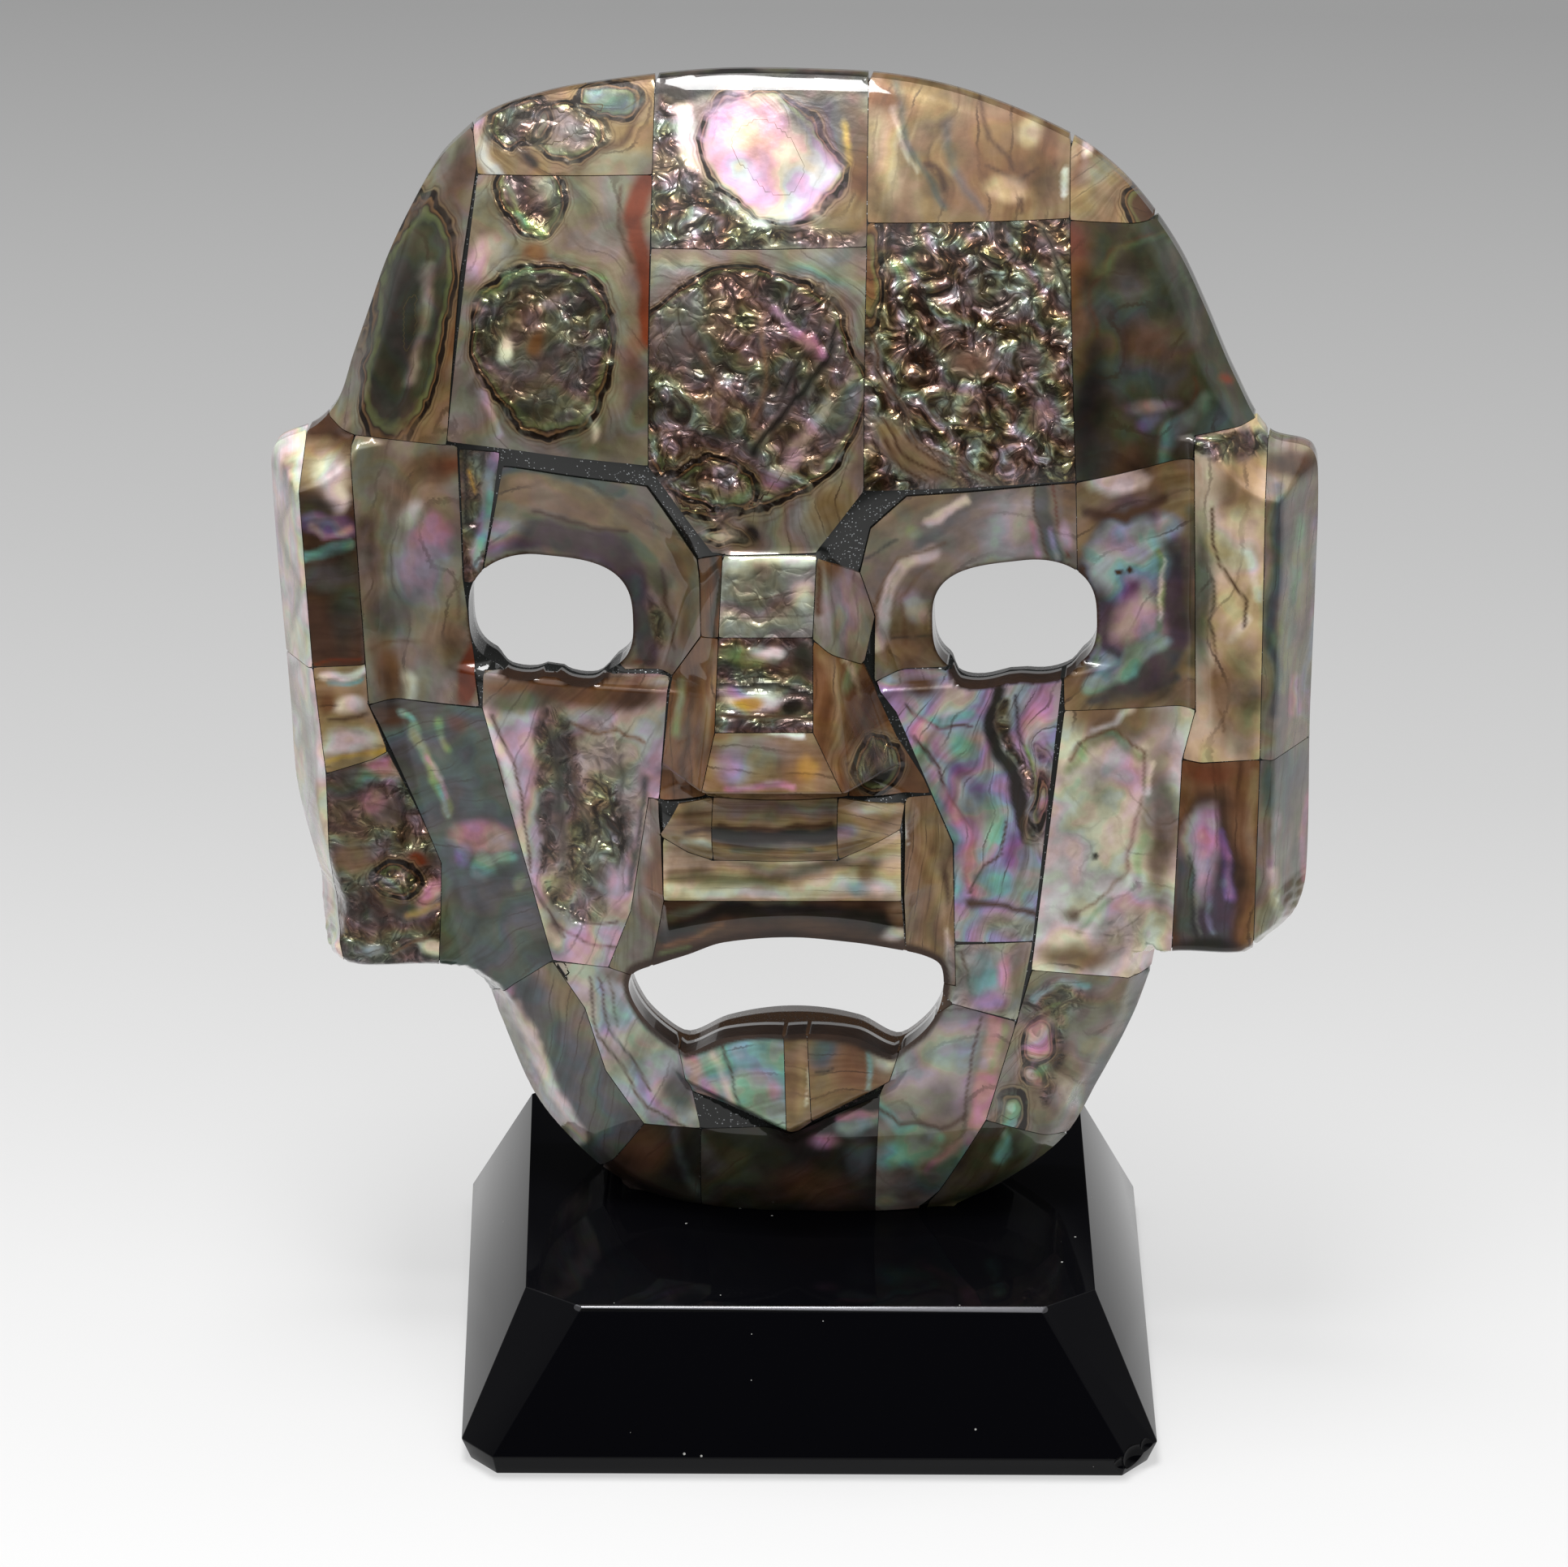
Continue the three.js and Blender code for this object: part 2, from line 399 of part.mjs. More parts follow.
// Pieces of shell in the order they are cut: name, finish, and corners in the mask's own frame. A
// corner outside the outline means that the piece runs to the edge and down over it.
const PIECES = [
  ['shell_nose_root', PEARL, [[-6.4, 90.7], [5.5, 90.7], [5, 81], [-6.9, 81]]],
  ['shell_nose_bridge', CRINKLED, [[-6.9, 81], [5, 81], [5, 69.6], [-7.4, 69.6]]],
  ['shell_nose_tip', CLOUDY, [[-7.4, 69.6], [5, 69.6], [8.8, 62], [8.8, 59], [-9.4, 59], [-9.2, 62]]],
  ['shell_nose_left_top', CLOUDY, [[-9.8, 89.4], [-6.4, 90.7], [-6.9, 81], [-9.5, 79.8]]],
  ['shell_nose_left', CLOUDY,
    [[-9.5, 79.8], [-6.9, 81], [-7.4, 69.6], [-9.4, 59], [-15.6, 57.6], [-13.7, 73.2]]],
  ['shell_nose_right_top', CLOUDY, [[5.5, 90.6], [10.5, 86.8], [12.2, 80.7], [11, 75.8], [5, 80.8]]],
  ['shell_nose_right', CRINKLED,
    [[5, 80.8], [11, 75.8], [14.9, 66], [18.1, 60.2], [19, 57.9], [8.8, 59], [5, 69.6]]],
  ['shell_wing_left', CLOUDY, [[-12.9, 57.8], [-8.4, 59], [-8.8, 49.9], [-12, 50.9], [-15.6, 53]]],
  ['shell_wing_middle', CLOUDY, [[-8.4, 59], [7.5, 59], [7.2, 49.9], [-8.8, 49.9]]],
  ['shell_wing_right', CLOUDY, [[7.5, 59], [15.8, 57.2], [15.2, 54], [7.2, 49.9]]],
  ['shell_lip_top', CLOUDY, [[-15.2, 53], [15.2, 54], [15.2, 44.6], [-15.2, 44.6]]],
  ['shell_lip_under', SMOKY, [[-15.2, 44.6], [15.2, 44.6], [15.2, 33], [-18, 32]]],
  ['shell_lower_lip_ridge', CLOUDY, [[-0.3, 30], [2.6, 30], [2.9, 14], [1, 12.3], [-0.3, 13]]],
  ['shell_lower_lip_left', RAINBOW, [[-14.4, 23.2], [-10, 30], [-0.3, 30], [-0.3, 13], [-12.8, 16.6]]],
  ['shell_lower_lip_right', CLOUDY, [[2.6, 30], [11, 29], [14.4, 23.4], [12.9, 19], [2.9, 14]]],
  ['shell_fold_left', CLOUDY,
    [[-17, 57.5], [-15.6, 57.6], [-15.2, 44.6], [-18, 32], [-23.2, 33.4], [-19.9, 41.7]]],
  ['shell_fold_right', CLOUDY,
    [[15.8, 57.6], [19.1, 57.7], [21.6, 50.8], [21.5, 31], [15.2, 33]]],
  ['shell_cheek_left', SMOKY,
    [[-53.7, 66.8], [-38.6, 67.5], [-30.6, 33.6], [-36, 29.5], [-42, 24], [-46, 28.5], [-45.2, 45]]],
  ['shell_cheek_left_in', CRINKLED,
    [[-38.3, 72.3], [-14, 72.8], [-15.6, 57.6], [-19.9, 41.7], [-23.2, 33.4], [-30.6, 33.6],
      [-38.6, 67.5]]],
  ['shell_cheek_right_in', RAINBOW,
    [[12.2, 73.2], [35.8, 72.3], [31.4, 36.2], [21.5, 37.2], [21.7, 50.8], [14.9, 69.2]]],
  ['shell_cheek_right', PEARL, [[35.9, 67.4], [52.4, 65.6], [50.6, 58.8], [48.7, 28], [31.1, 32.2]]],
  ['shell_lid_left', CLOUDY,
    [[-34.8, 99.8], [-16, 98.8], [-9.9, 89.3], [-9.5, 79.9], [-13.7, 73.2], [-20, 72.9],
      [-38.4, 83.8]]],
  ['shell_lid_corner_left', RAINBOW, [[-40.4, 101.8], [-35, 101.8], [-38.4, 83.8], [-40.5, 83.9]]],
  ['shell_temple_eye_left', CLOUDY,
    [[-54.6, 101.6], [-40.6, 102.2], [-40.6, 84.4], [-39, 67.6], [-53.7, 66.8]]],
  ['shell_lid_right', PEARL,
    [[12.1, 93.2], [16.8, 97.6], [37.8, 97.4], [37.6, 76], [24, 72.9], [12.2, 73.2], [12.2, 80.7],
      [10.5, 86.8]]],
  ['shell_temple_eye_right', RAINBOW,
    [[37.8, 97.4], [52.6, 99], [52.4, 65.6], [35.9, 67.4], [35.9, 72], [37.6, 76]]],
  ['shell_brow_middle', CRINKLED,
    [[-15.2, 127.9], [12, 128], [11.5, 98.7], [5.4, 90.9], [-7.8, 90.7], [-15.6, 101.7]]],
  ['shell_brow_left', CRINKLED, [[-37.8, 135.2], [-15.2, 136.1], [-15.6, 101.8], [-42, 102.6]]],
  ['shell_brow_right', CRINKLED, [[12, 130.7], [37.2, 129.8], [37.8, 97.6], [11.5, 98.7]]],
  ['shell_crown_left', PEARL, [[-40, 150], [-15.2, 151], [-15.2, 136.1], [-37.8, 135.2]]],
  ['shell_crown_middle', PEARL, [[-15.2, 151], [11.8, 151], [12, 128], [-15.2, 127.9]]],
  ['shell_crown_right', CLOUDY, [[11.8, 151], [37.2, 148], [37.2, 129.8], [12, 130.7]]],
  ['shell_shoulder_right', CLOUDY, [[37.2, 148], [56, 130], [54, 127], [37.2, 129.6]]],
  ['shell_temple_left', SMOKY,
    [[-36, 148], [-40, 123], [-42, 102], [-54.6, 101.6], [-62, 103.4], [-60, 130], [-46, 144]]],
  ['shell_temple_right', SMOKY,
    [[37.2, 129.6], [54, 127], [64, 101.8], [52.6, 101.4], [52.4, 98], [37.8, 97.6]]],
  ['shell_ear_left_top', PEARL, [[-61.6, 104], [-54.6, 101.6], [-53.7, 72.4], [-60.6, 72.1]]],
  ['shell_ear_left_middle', PEARL,
    [[-60.6, 72.1], [-53.7, 72.4], [-53.7, 66.8], [-51.6, 60.2], [-59.5, 57.7]]],
  ['shell_ear_left_low', CRINKLED,
    [[-59.5, 57.7], [-51.6, 60.2], [-45.1, 45.2], [-45.1, 27], [-57.5, 27], [-59.6, 40.9]]],
  ['shell_ear_left_side', PEARL, [[-70, 104], [-61.6, 104], [-60.6, 72.1], [-70, 69.7]]],
  ['shell_ear_left_side_low', PEARL,
    [[-70, 69.7], [-60.6, 72.1], [-59.5, 57.7], [-59.6, 40.9], [-57.5, 27], [-70, 27]]],
  ['shell_ear_right_top', CLOUDY, [[52.6, 101.6], [61.8, 103], [60.6, 59.5], [50.6, 58.9], [52.4, 66]]],
  ['shell_ear_right_low', RAINBOW, [[50.6, 58.8], [60.6, 59.5], [59.3, 28], [48.7, 28]]],
  ['shell_ear_right_side', PEARL, [[61.8, 103], [72, 103], [72, 58.5], [60.6, 59.5]]],
  ['shell_ear_right_side_low', SMOKY, [[60.6, 59.5], [72, 58.5], [72, 28], [59.3, 28]]],
  ['shell_jaw_left_in', RAINBOW,
    [[-30.6, 33.4], [-19, 33.6], [-14.4, 23.2], [-12.8, 16.6], [-11.9, 11.3], [-19.4, 11.4],
      [-24.2, 18.7], [-26.6, 27.3]]],
  ['shell_jaw_left', SMOKY,
    [[-46, 27], [-30.6, 33.4], [-26.6, 27.3], [-24.2, 18.7], [-19.4, 11.4], [-28.5, -1], [-46, 4]]],
  ['shell_jaw_right_in', RAINBOW, [[19, 37], [31.4, 36.2], [29.2, 25.3], [21.1, 28.5], [19, 31]]],
  ['shell_jaw_right', PEARL, [[31.2, 32.2], [48, 31], [40, 5], [24.9, 11.5], [29, 24.8]]],
  ['shell_chin_right', RAINBOW,
    [[14.2, 24.5], [21.1, 28.5], [29, 25.2], [27.2, 16.6], [24.9, 11.5], [18.5, 0.8], [9.7, -8],
      [11.4, 16.1]]],
  ['shell_chin_right_out', SMOKY, [[24.9, 11.5], [40, 5], [30, -6], [12, -8], [18.5, 0.8]]],
  ['shell_chin_middle', SMOKY, [[-11.9, 11.3], [0.9, 12.2], [11.4, 16], [9.7, -8], [-13, -8]]],
  ['shell_chin_left', SMOKY, [[-19.4, 11.4], [-11.9, 11.3], [-13, -8], [-28.5, -3], [-28.5, -1]]],
];

// One level of the stand: a rectangle with its corners clipped
function clippedRectangle(half, clip, z) {
  const corner = [[half.x, half.y - clip.y], [half.x - clip.x, half.y]];
  const mirrored = (sx, sy) => corner.map(([x, y]) => [sx * x, sy * y, z]);
  return [
    ...mirrored(1, 1),
    ...mirrored(-1, 1).reverse(),
    ...mirrored(-1, -1),
    ...mirrored(1, -1).reverse(),
  ];
}

function shrunk(half, by) {
  return { x: half.x - by, y: half.y - by };
}

// Solid through rings of the same number of points, from the lowest to the highest
function stacked(rings) {
  const count = rings[0].length;
  const index = [];
  for (let r = 0; r + 1 < rings.length; r += 1) {
    for (let i = 0; i < count; i += 1) {
      const [a, b] = [r * count + i, r * count + ((i + 1) % count)];
      index.push(a, b, b + count, a, b + count, a + count);
    }
  }
  const last = (rings.length - 1) * count;
  for (let i = 1; i + 1 < count; i += 1) {
    index.push(0, i + 1, i);
    index.push(last, last + i, last + i + 1);
  }
  const geometry = new THREE.BufferGeometry();
  geometry.setAttribute('position', new THREE.Float32BufferAttribute(rings.flat(2), 3));
  geometry.setIndex(index);
  return solidOf(geometry);
}

// The stand, with the chip out of its near right foot
function standSolid() {
  const body = stacked([
    clippedRectangle(shrunk(FOOT_HALF, FOOT_BEVEL.inset), FOOT_BEVEL.clip, 0),
    clippedRectangle(FOOT_HALF, FOOT_CLIP, FOOT_BEVEL.height),
    clippedRectangle(TOP_HALF, TOP_CLIP, STAND_HEIGHT - TOP_BEVEL),
    clippedRectangle(shrunk(TOP_HALF, TOP_BEVEL), TOP_CLIP, STAND_HEIGHT),
  ]);
  const chip = new THREE.IcosahedronGeometry(CHIP.radius, 0).scale(...CHIP.squash).rotateZ(CHIP.turn);
  chip.translate(FOOT_HALF.x - CHIP.fromSide, CHIP.fromFront - FOOT_HALF.y, CHIP.level);
  return body.subtract(solidOf(chip));
}

const mask = new THREE.Group();
mask.name = 'mask';
const facing = new THREE.Group();
facing.position.set(SEAT.x, SEAT.y, STAND_HEIGHT);
facing.rotation.z = TURN;
const leaning = new THREE.Group();
leaning.rotation.x = Math.PI / 2 - LEAN;
mask.rotation.z = ROLL;
facing.add(leaning);
leaning.add(mask);

function addPiece(group, name, solid, material) {
  const mesh = new THREE.Mesh(geometryOf(solid), material);
  mesh.name = name;
  group.add(mesh);
}

// Everything below the seat, brought from the stand's frame into the mask's
function belowSeat() {
  facing.updateMatrixWorld(true);
  const block = new THREE.BoxGeometry(200, 200, HIGH);
  block.translate(0, 0, STAND_HEIGHT + SEAT_GAP - HIGH / 2);
  return solidOf(block.applyMatrix4(mask.matrixWorld.clone().invert()));
}

const rows = sampleRows(LEVELS);
const coarse = thinned(rows);
const openings = [MOUTH, ...EYES.map(eyeOutline)];
const openSpaces = openings.reduce((all, one) => all.add(prism(one, DEEP, HIGH)), belowSeat());

const whole = slab(rows, relief).intersect(prism(OUTLINE, 0, HIGH));
const bed = slab(coarse, coreHeight).intersect(prism(inset(OUTLINE, RIM_SHELL), DEEP, HIGH));
let shell = whole.subtract(bed).subtract(openSpaces);

const core = slab(coarse, (x, y) => coreHeight(x, y) - BACK_GAP)
  .intersect(prism(inset(OUTLINE, RIM_SHELL + BACK_GAP), 0, HIGH))
  .subtract(slab(coarse, hollow))
  .subtract(openSpaces);
addPiece(mask, 'core', core, RESIN);

for (const [name, material, corners] of PIECES) {
  const piece = shell.intersect(prism(inset(corners, HALF_SEAM), DEEP, HIGH));
  shell = shell.subtract(prism(inset(corners, -HALF_SEAM), DEEP, HIGH));
  addPiece(mask, name, piece, material);
}

const part = new THREE.Group();
part.name = 'shell_mosaic_mask';
const footing = new THREE.Group();
footing.rotation.z = STAND_TURN;
addPiece(footing, 'stand', standSolid(), STONE);
part.add(footing);
part.add(facing);

export default part;
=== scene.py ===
# %% [markdown]
# # A mosaic mask of abalone shell
# The real mask is a black resin core with some fifty thick pieces of abalone shell bonded to its
# front. The whole face was ground to shape and polished, so the surface is one smooth skin and all
# the liveliness lies under it, in the layers of the shell. This lesson rebuilds it around the solid
# model, which arrives as a fixed frame. Everything is in metres, and sizes are written in millimetres.

# %% Load the frame
import json
import math

import bmesh
import bpy
import numpy as np
from mathutils import Matrix, Vector
from mathutils.geometry import delaunay_2d_cdt


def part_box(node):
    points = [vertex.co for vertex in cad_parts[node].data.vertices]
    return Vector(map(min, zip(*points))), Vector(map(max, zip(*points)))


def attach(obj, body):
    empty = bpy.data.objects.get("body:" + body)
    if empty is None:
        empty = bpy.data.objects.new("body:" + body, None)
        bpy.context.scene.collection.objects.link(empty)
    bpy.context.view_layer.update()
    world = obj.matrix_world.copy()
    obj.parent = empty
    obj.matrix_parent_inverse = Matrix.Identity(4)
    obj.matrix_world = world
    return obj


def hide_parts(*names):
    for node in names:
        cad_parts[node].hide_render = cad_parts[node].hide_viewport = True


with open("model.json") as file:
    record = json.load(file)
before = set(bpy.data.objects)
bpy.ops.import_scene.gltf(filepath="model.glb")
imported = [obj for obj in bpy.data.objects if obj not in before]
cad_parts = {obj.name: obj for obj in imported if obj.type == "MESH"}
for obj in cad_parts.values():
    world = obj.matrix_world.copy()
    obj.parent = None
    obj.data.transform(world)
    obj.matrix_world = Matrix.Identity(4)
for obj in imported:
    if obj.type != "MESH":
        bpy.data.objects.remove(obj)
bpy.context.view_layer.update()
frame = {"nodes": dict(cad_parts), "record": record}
MM = 0.001

# %% [markdown]
# The picture of the mask was taken from in front and above, with a long lens.
# Its camera comes first, because the marks in the shell are placed by where they stand in that
# picture. The camera's roll of less than a degree is the photographer's.

# %% Camera
PICTURE_SIZE = (1932, 1931)
MM_PER_PIXEL = 0.1037
VIEW_DISTANCE = 1100
VIEW_HEIGHT = math.radians(27)
VIEW_ROLL = math.radians(0.7)
VIEW_CENTRE = np.array([-3.8, 0.0, 80.9])
SENSOR_WIDTH = 36
FARTHEST_SEEN = 20

level_right = np.array([1.0, 0.0, 0.0])
level_up = np.array([0.0, math.sin(VIEW_HEIGHT), math.cos(VIEW_HEIGHT)])
VIEW_BACK = np.array([0.0, -math.cos(VIEW_HEIGHT), math.sin(VIEW_HEIGHT)])
VIEW_RIGHT = level_right * math.cos(VIEW_ROLL) + level_up * math.sin(VIEW_ROLL)
VIEW_UP = level_up * math.cos(VIEW_ROLL) - level_right * math.sin(VIEW_ROLL)
VIEW_PLACE = VIEW_CENTRE + VIEW_BACK * VIEW_DISTANCE


def new_object(name, data):
    made = bpy.data.objects.new(name, data)
    bpy.context.scene.collection.objects.link(made)
    return made


camera = new_object("camera", bpy.data.cameras.new("camera"))
axes = np.column_stack([VIEW_RIGHT, VIEW_UP, VIEW_BACK])
camera.matrix_world = Matrix.Translation(Vector(VIEW_PLACE * MM)) @ Matrix(axes.tolist()).to_4x4()
camera.data.sensor_width = SENSOR_WIDTH
camera.data.lens = VIEW_DISTANCE / MM_PER_PIXEL * SENSOR_WIDTH / PICTURE_SIZE[0]
camera.data.clip_end = FARTHEST_SEEN
bpy.context.scene.camera = camera


def picture_place(points):
    """Pixel of the picture at which each point stands, points in millimetres."""
    away = points - VIEW_PLACE
    scale = VIEW_DISTANCE / MM_PER_PIXEL / -(away @ VIEW_BACK)
    u = PICTURE_SIZE[0] / 2 + scale * (away @ VIEW_RIGHT)
    v = PICTURE_SIZE[1] / 2 - scale * (away @ VIEW_UP)
    return u, v


print("lens, mm:", round(camera.data.lens, 1))

# %% [markdown]
# The mask stands on the stone, leans back, turns a little and leans a little to one side. Its relief
# is easiest to describe flat, as a height over a plane: x to the right, y up the face, and height
# towards the viewer. Two functions go from that plane to the room and back.

# %% The mask's own frame
STAND_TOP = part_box("stand")[1].z / MM
LEAN, TURN, ROLL = math.radians(8), math.radians(-4), math.radians(2.7)
SEAT = (-0.3, 10.0)

placing = (
    Matrix.Translation((*SEAT, STAND_TOP))
    @ Matrix.Rotation(TURN, 4, "Z")
    @ Matrix.Rotation(math.pi / 2 - LEAN, 4, "X")
    @ Matrix.Rotation(ROLL, 4, "Z")
)
TURNING = np.array(placing.to_3x3())
MASK_ORIGIN = np.array(placing.translation)


def to_room(points):
    return points @ TURNING.T + MASK_ORIGIN


def to_mask(points):
    return (points - MASK_ORIGIN) @ TURNING


def vertex_places(mesh):
    """Places of a mesh's vertices in the room, in millimetres."""
    places = np.empty(len(mesh.vertices) * 3)
    mesh.vertices.foreach_get("co", places)
    return places.reshape(-1, 3) / MM


print("stand top, mm:", round(STAND_TOP, 2))

# %% [markdown]
# The outline runs from the middle of the chin up the left side and down the right. The real edge was
# ground by hand in smooth sweeps, so the points are joined by a curve that passes through them all,
# where the solid model has straight runs.

# %% Outline and openings
OUTLINE = [
    (0, -4.2), (-9, -3.9), (-17.5, -2), (-24, 1.2), (-29.5, 5.8), (-35, 13), (-39, 23),
    (-41.2, 28.2), (-44.5, 30.8), (-57, 31), (-60.8, 32.8), (-62, 36.5), (-62.3, 42),
    (-64.8, 54.5), (-65.2, 65), (-66.3, 95.8), (-65.5, 98.8), (-60.4, 101.1), (-57.3, 104.6),
    (-55.1, 110.6), (-52.7, 117), (-50.2, 123.5), (-47, 129.9), (-43.3, 136), (-40.2, 139.2),
    (-36.8, 141.8), (-31, 143.9), (-25, 145.2), (-9, 147), (5.5, 146.9), (16, 146), (25.7, 143.5),
    (36.8, 138.5), (42.4, 134.4), (46.8, 129.4), (50.8, 123.1), (53.8, 116.4), (57.6, 107),
    (61.8, 99.4), (67, 97.6), (68, 95), (67.6, 80), (66.8, 62), (66.2, 41), (65.2, 38), (62, 35),
    (58.4, 32.8), (47.6, 32.5), (46, 28.5), (44, 23.4), (39.4, 14.5), (35, 7), (27, 0.9),
    (20.6, -2), (11, -3.8),
]
MOUTH = [
    (-20, 32.8), (-16.5, 34.5), (-12.7, 36), (-8, 37.9), (0.5, 38.8), (8.7, 37.9), (13.7, 36.8),
    (17.6, 35.6), (19.7, 34), (19.8, 30), (18.4, 26.3), (15.5, 23.4), (13.4, 22.6), (8.6, 25.4),
    (0.4, 26.6), (-8, 25.4), (-13.4, 22.8), (-16, 24), (-19, 27), (-20.6, 30.5),
]
EYES = [(-29.4, 79.5, 10.6, 7.8), (29.7, 78.9, 10.4, 7.6)]
EYE_POWER = 2.9
EYE_BUMP = dict(height=0.8, half=3)
CURVE_STEP = 0.4


def smooth_loop(points):
    """Closed curve through the points, as a dense line that runs anticlockwise."""
    p = np.array(points, float)
    before, after, second = np.roll(p, 1, 0), np.roll(p, -1, 0), np.roll(p, -2, 0)
    length = np.hypot(*(after - p).T)
    lead = np.hypot(*(p - before).T)
    tail = np.hypot(*(second - after).T)
    start = (after - before) / (length + lead)[:, None] * length[:, None]
    end = (second - p) / (length + tail)[:, None] * length[:, None]
    line = []
    for i, span in enumerate(length):
        t = np.arange(0, 1, CURVE_STEP / span)[:, None]
        line.append(
            (2 * t**3 - 3 * t**2 + 1) * p[i] + (t**3 - 2 * t**2 + t) * start[i]
            + (3 * t**2 - 2 * t**3) * after[i] + (t**3 - t**2) * end[i]
        )
    return np.vstack(line)[::-1]


def eye_loop(eye):
    """Rounded box with a small downward bump in its lower edge."""
    x, y, half_width, half_height = eye
    angle = np.arange(0, math.tau, CURVE_STEP / half_width)
    power = 2 / EYE_POWER
    c, s = np.cos(angle), np.sin(angle)
    across = half_width * np.sign(c) * np.abs(c) ** power
    upright = half_height * np.sign(s) * np.abs(s) ** power
    bump = np.where(s < 0, np.exp(-((across / EYE_BUMP["half"]) ** 2)), 0)
    return np.column_stack([x + across, y + upright + EYE_BUMP["height"] * bump])


EDGE = smooth_loop(OUTLINE)
OPENINGS = [smooth_loop(MOUTH), *[eye_loop(eye) for eye in EYES]]
print("points on the outline:", len(EDGE))

# %% [markdown]
# Distances to those lines are wanted all over the mask, so they are worked out once on a fine grid
# and looked up from it. Inside the outline the distance counts up from zero, outside it is negative.

# %% Distance to the outline
GRID_STEP = 0.5
GRID_LOW = np.array([-74.0, -14.0])
GRID_COUNT = (300, 336)
LAST_CELL = 1.001
EDGE_EVERY = 3
AT_ONCE = 4000


def parts_of(points):
    """Slices that take the points a few thousand at a time."""
    return [slice(low, low + AT_ONCE) for low in range(0, len(points), AT_ONCE)]


def nearest_on(line, points):
    """Nearest place on a closed line for each point, the distance to it, and the line's direction."""
    a, b = line, np.roll(line, -1, 0)
    run = b - a
    long = (run**2).sum(1)
    found = np.empty((len(points), 2))
    heading = np.empty((len(points), 2))
    for part in parts_of(points):
        p = points[part, None, :]
        t = np.clip(((p - a) * run).sum(2) / long, 0, 1)
        spot = a + t[..., None] * run
        best = ((p - spot) ** 2).sum(2).argmin(1)
        found[part] = spot[np.arange(len(best)), best]
        heading[part] = run[best] / np.sqrt(long[best])[:, None]
    return found, np.hypot(*(points - found).T), heading


def inside(line, points):
    a, b = line, np.roll(line, -1, 0)
    result = np.zeros(len(points), bool)
    for part in parts_of(points):
        x, y = points[part, 0:1], points[part, 1:2]
        spans = (a[:, 1] > y) != (b[:, 1] > y)
        with np.errstate(divide="ignore", invalid="ignore"):
            cross = (b[:, 0] - a[:, 0]) * (y - a[:, 1]) / (b[:, 1] - a[:, 1]) + a[:, 0]
        result[part] = (spans & (x < cross)).sum(1) % 2 == 1
    return result


columns, lines = np.meshgrid(np.arange(GRID_COUNT[0]), np.arange(GRID_COUNT[1]))
grid_points = GRID_LOW + GRID_STEP * np.column_stack([columns.ravel(), lines.ravel()])
coarse_edge = EDGE[::EDGE_EVERY]
_, gap, heading = nearest_on(coarse_edge, grid_points)
sign = np.where(inside(coarse_edge, grid_points), 1, -1)
DISTANCE = (gap * sign).reshape(GRID_COUNT[::-1])
FACING_DOWN = np.maximum(0, heading[:, 0]).reshape(GRID_COUNT[::-1])


def blended(corner, fx, fy):
    """Blend of four corners, where corner(dx, dy) is the value that many steps on."""
    low = corner(0, 0) * (1 - fx) + corner(1, 0) * fx
    high = corner(0, 1) * (1 - fx) + corner(1, 1) * fx
    return low * (1 - fy) + high * fy


def looked_up(grid, x, y):
    """Value of a grid between its points."""
    gx = np.clip((x - GRID_LOW[0]) / GRID_STEP, 0, GRID_COUNT[0] - LAST_CELL)
    gy = np.clip((y - GRID_LOW[1]) / GRID_STEP, 0, GRID_COUNT[1] - LAST_CELL)
    ix, iy = gx.astype(int), gy.astype(int)
    return blended(lambda dx, dy: grid[iy + dy, ix + dx], gx - ix, gy - iy)


print("deepest point inside the outline, mm:", round(DISTANCE.max(), 1))

# %% [markdown]
# The relief is built as a sculptor would block it out: a smooth blank, sockets cut under the brow,
# and then ears, nose, wings of the nose and lips laid on, each softly joined to the rest. A bevel
# finishes the edge. The sizes are those of the solid model, so every piece lies where its solid is.

# %% Relief of the face
BLANK = dict(top=26, level=95, dome=0.0068, cheek=0.00065, chin=0.02, chin_level=12, side=0.0055)
CROWN = dict(fall=0.0014, half=40)
BROW_X = [-54, -40, -15.5, -8, 5, 11, 15, 37, 54]
BROW_Y = [106, 105.3, 102.3, 90.5, 90.5, 97.5, 98.8, 100.2, 103.5]
BROW_SPREAD = (-2.5, -1.2, 0, 1.2, 2.5)
SOCKET = dict(depth=6, slope=0.45, floor=72.6, step=0.5, inner=31, outer=44)
SOCKET_ROUNDING = dict(brow=0.8, depth=2.0, sink=0.1)
EAR = dict(height=14.5, top=101.3, waist=64, bottom=32, inner=54.5, low_inner=45.5, slope=0.8, skirt=5)
NOSE = dict(root=90.5, tip=62.3, root_height=27.2, tip_height=36, root_half=6, tip_half=9)
NOSE_FALL = dict(root=3, tip=6, side=1.9, rounding=0.7)
WINGS = dict(level=55.5, half=17.5, reach=6.5, base=22, swell=8)
UPPER_LIP = dict(ridge=45.4, height=27, half=15.2, foot=36.4, up=0.25, down=0.65, side=1.2, end=3)
LOWER_LIP = dict(height=27, point=13.5, rise=0.42, half=13.5, top=27.5, tilt=0.25, end=1.6)
RIM = dict(edge=3.3, ear_slope=2.45, dome_slope=2.2, jaw_edge=7, jaw_slope=1.5)
UNDERSIDE = dict(ear=9.5, jaw=5.7)
JAW_TO_EAR, EAR_TO_DOME = (20, 34), (95, 103)
RIM_JOIN = (120, 136, 0.9, 1.3)


def above(value):
    return np.maximum(value, 0)


def ramp(value, low, high, start=0, end=1):
    return start + (end - start) * np.clip((value - low) / (high - low), 0, 1)


def eased(share):
    return share * share * (3 - 2 * share)


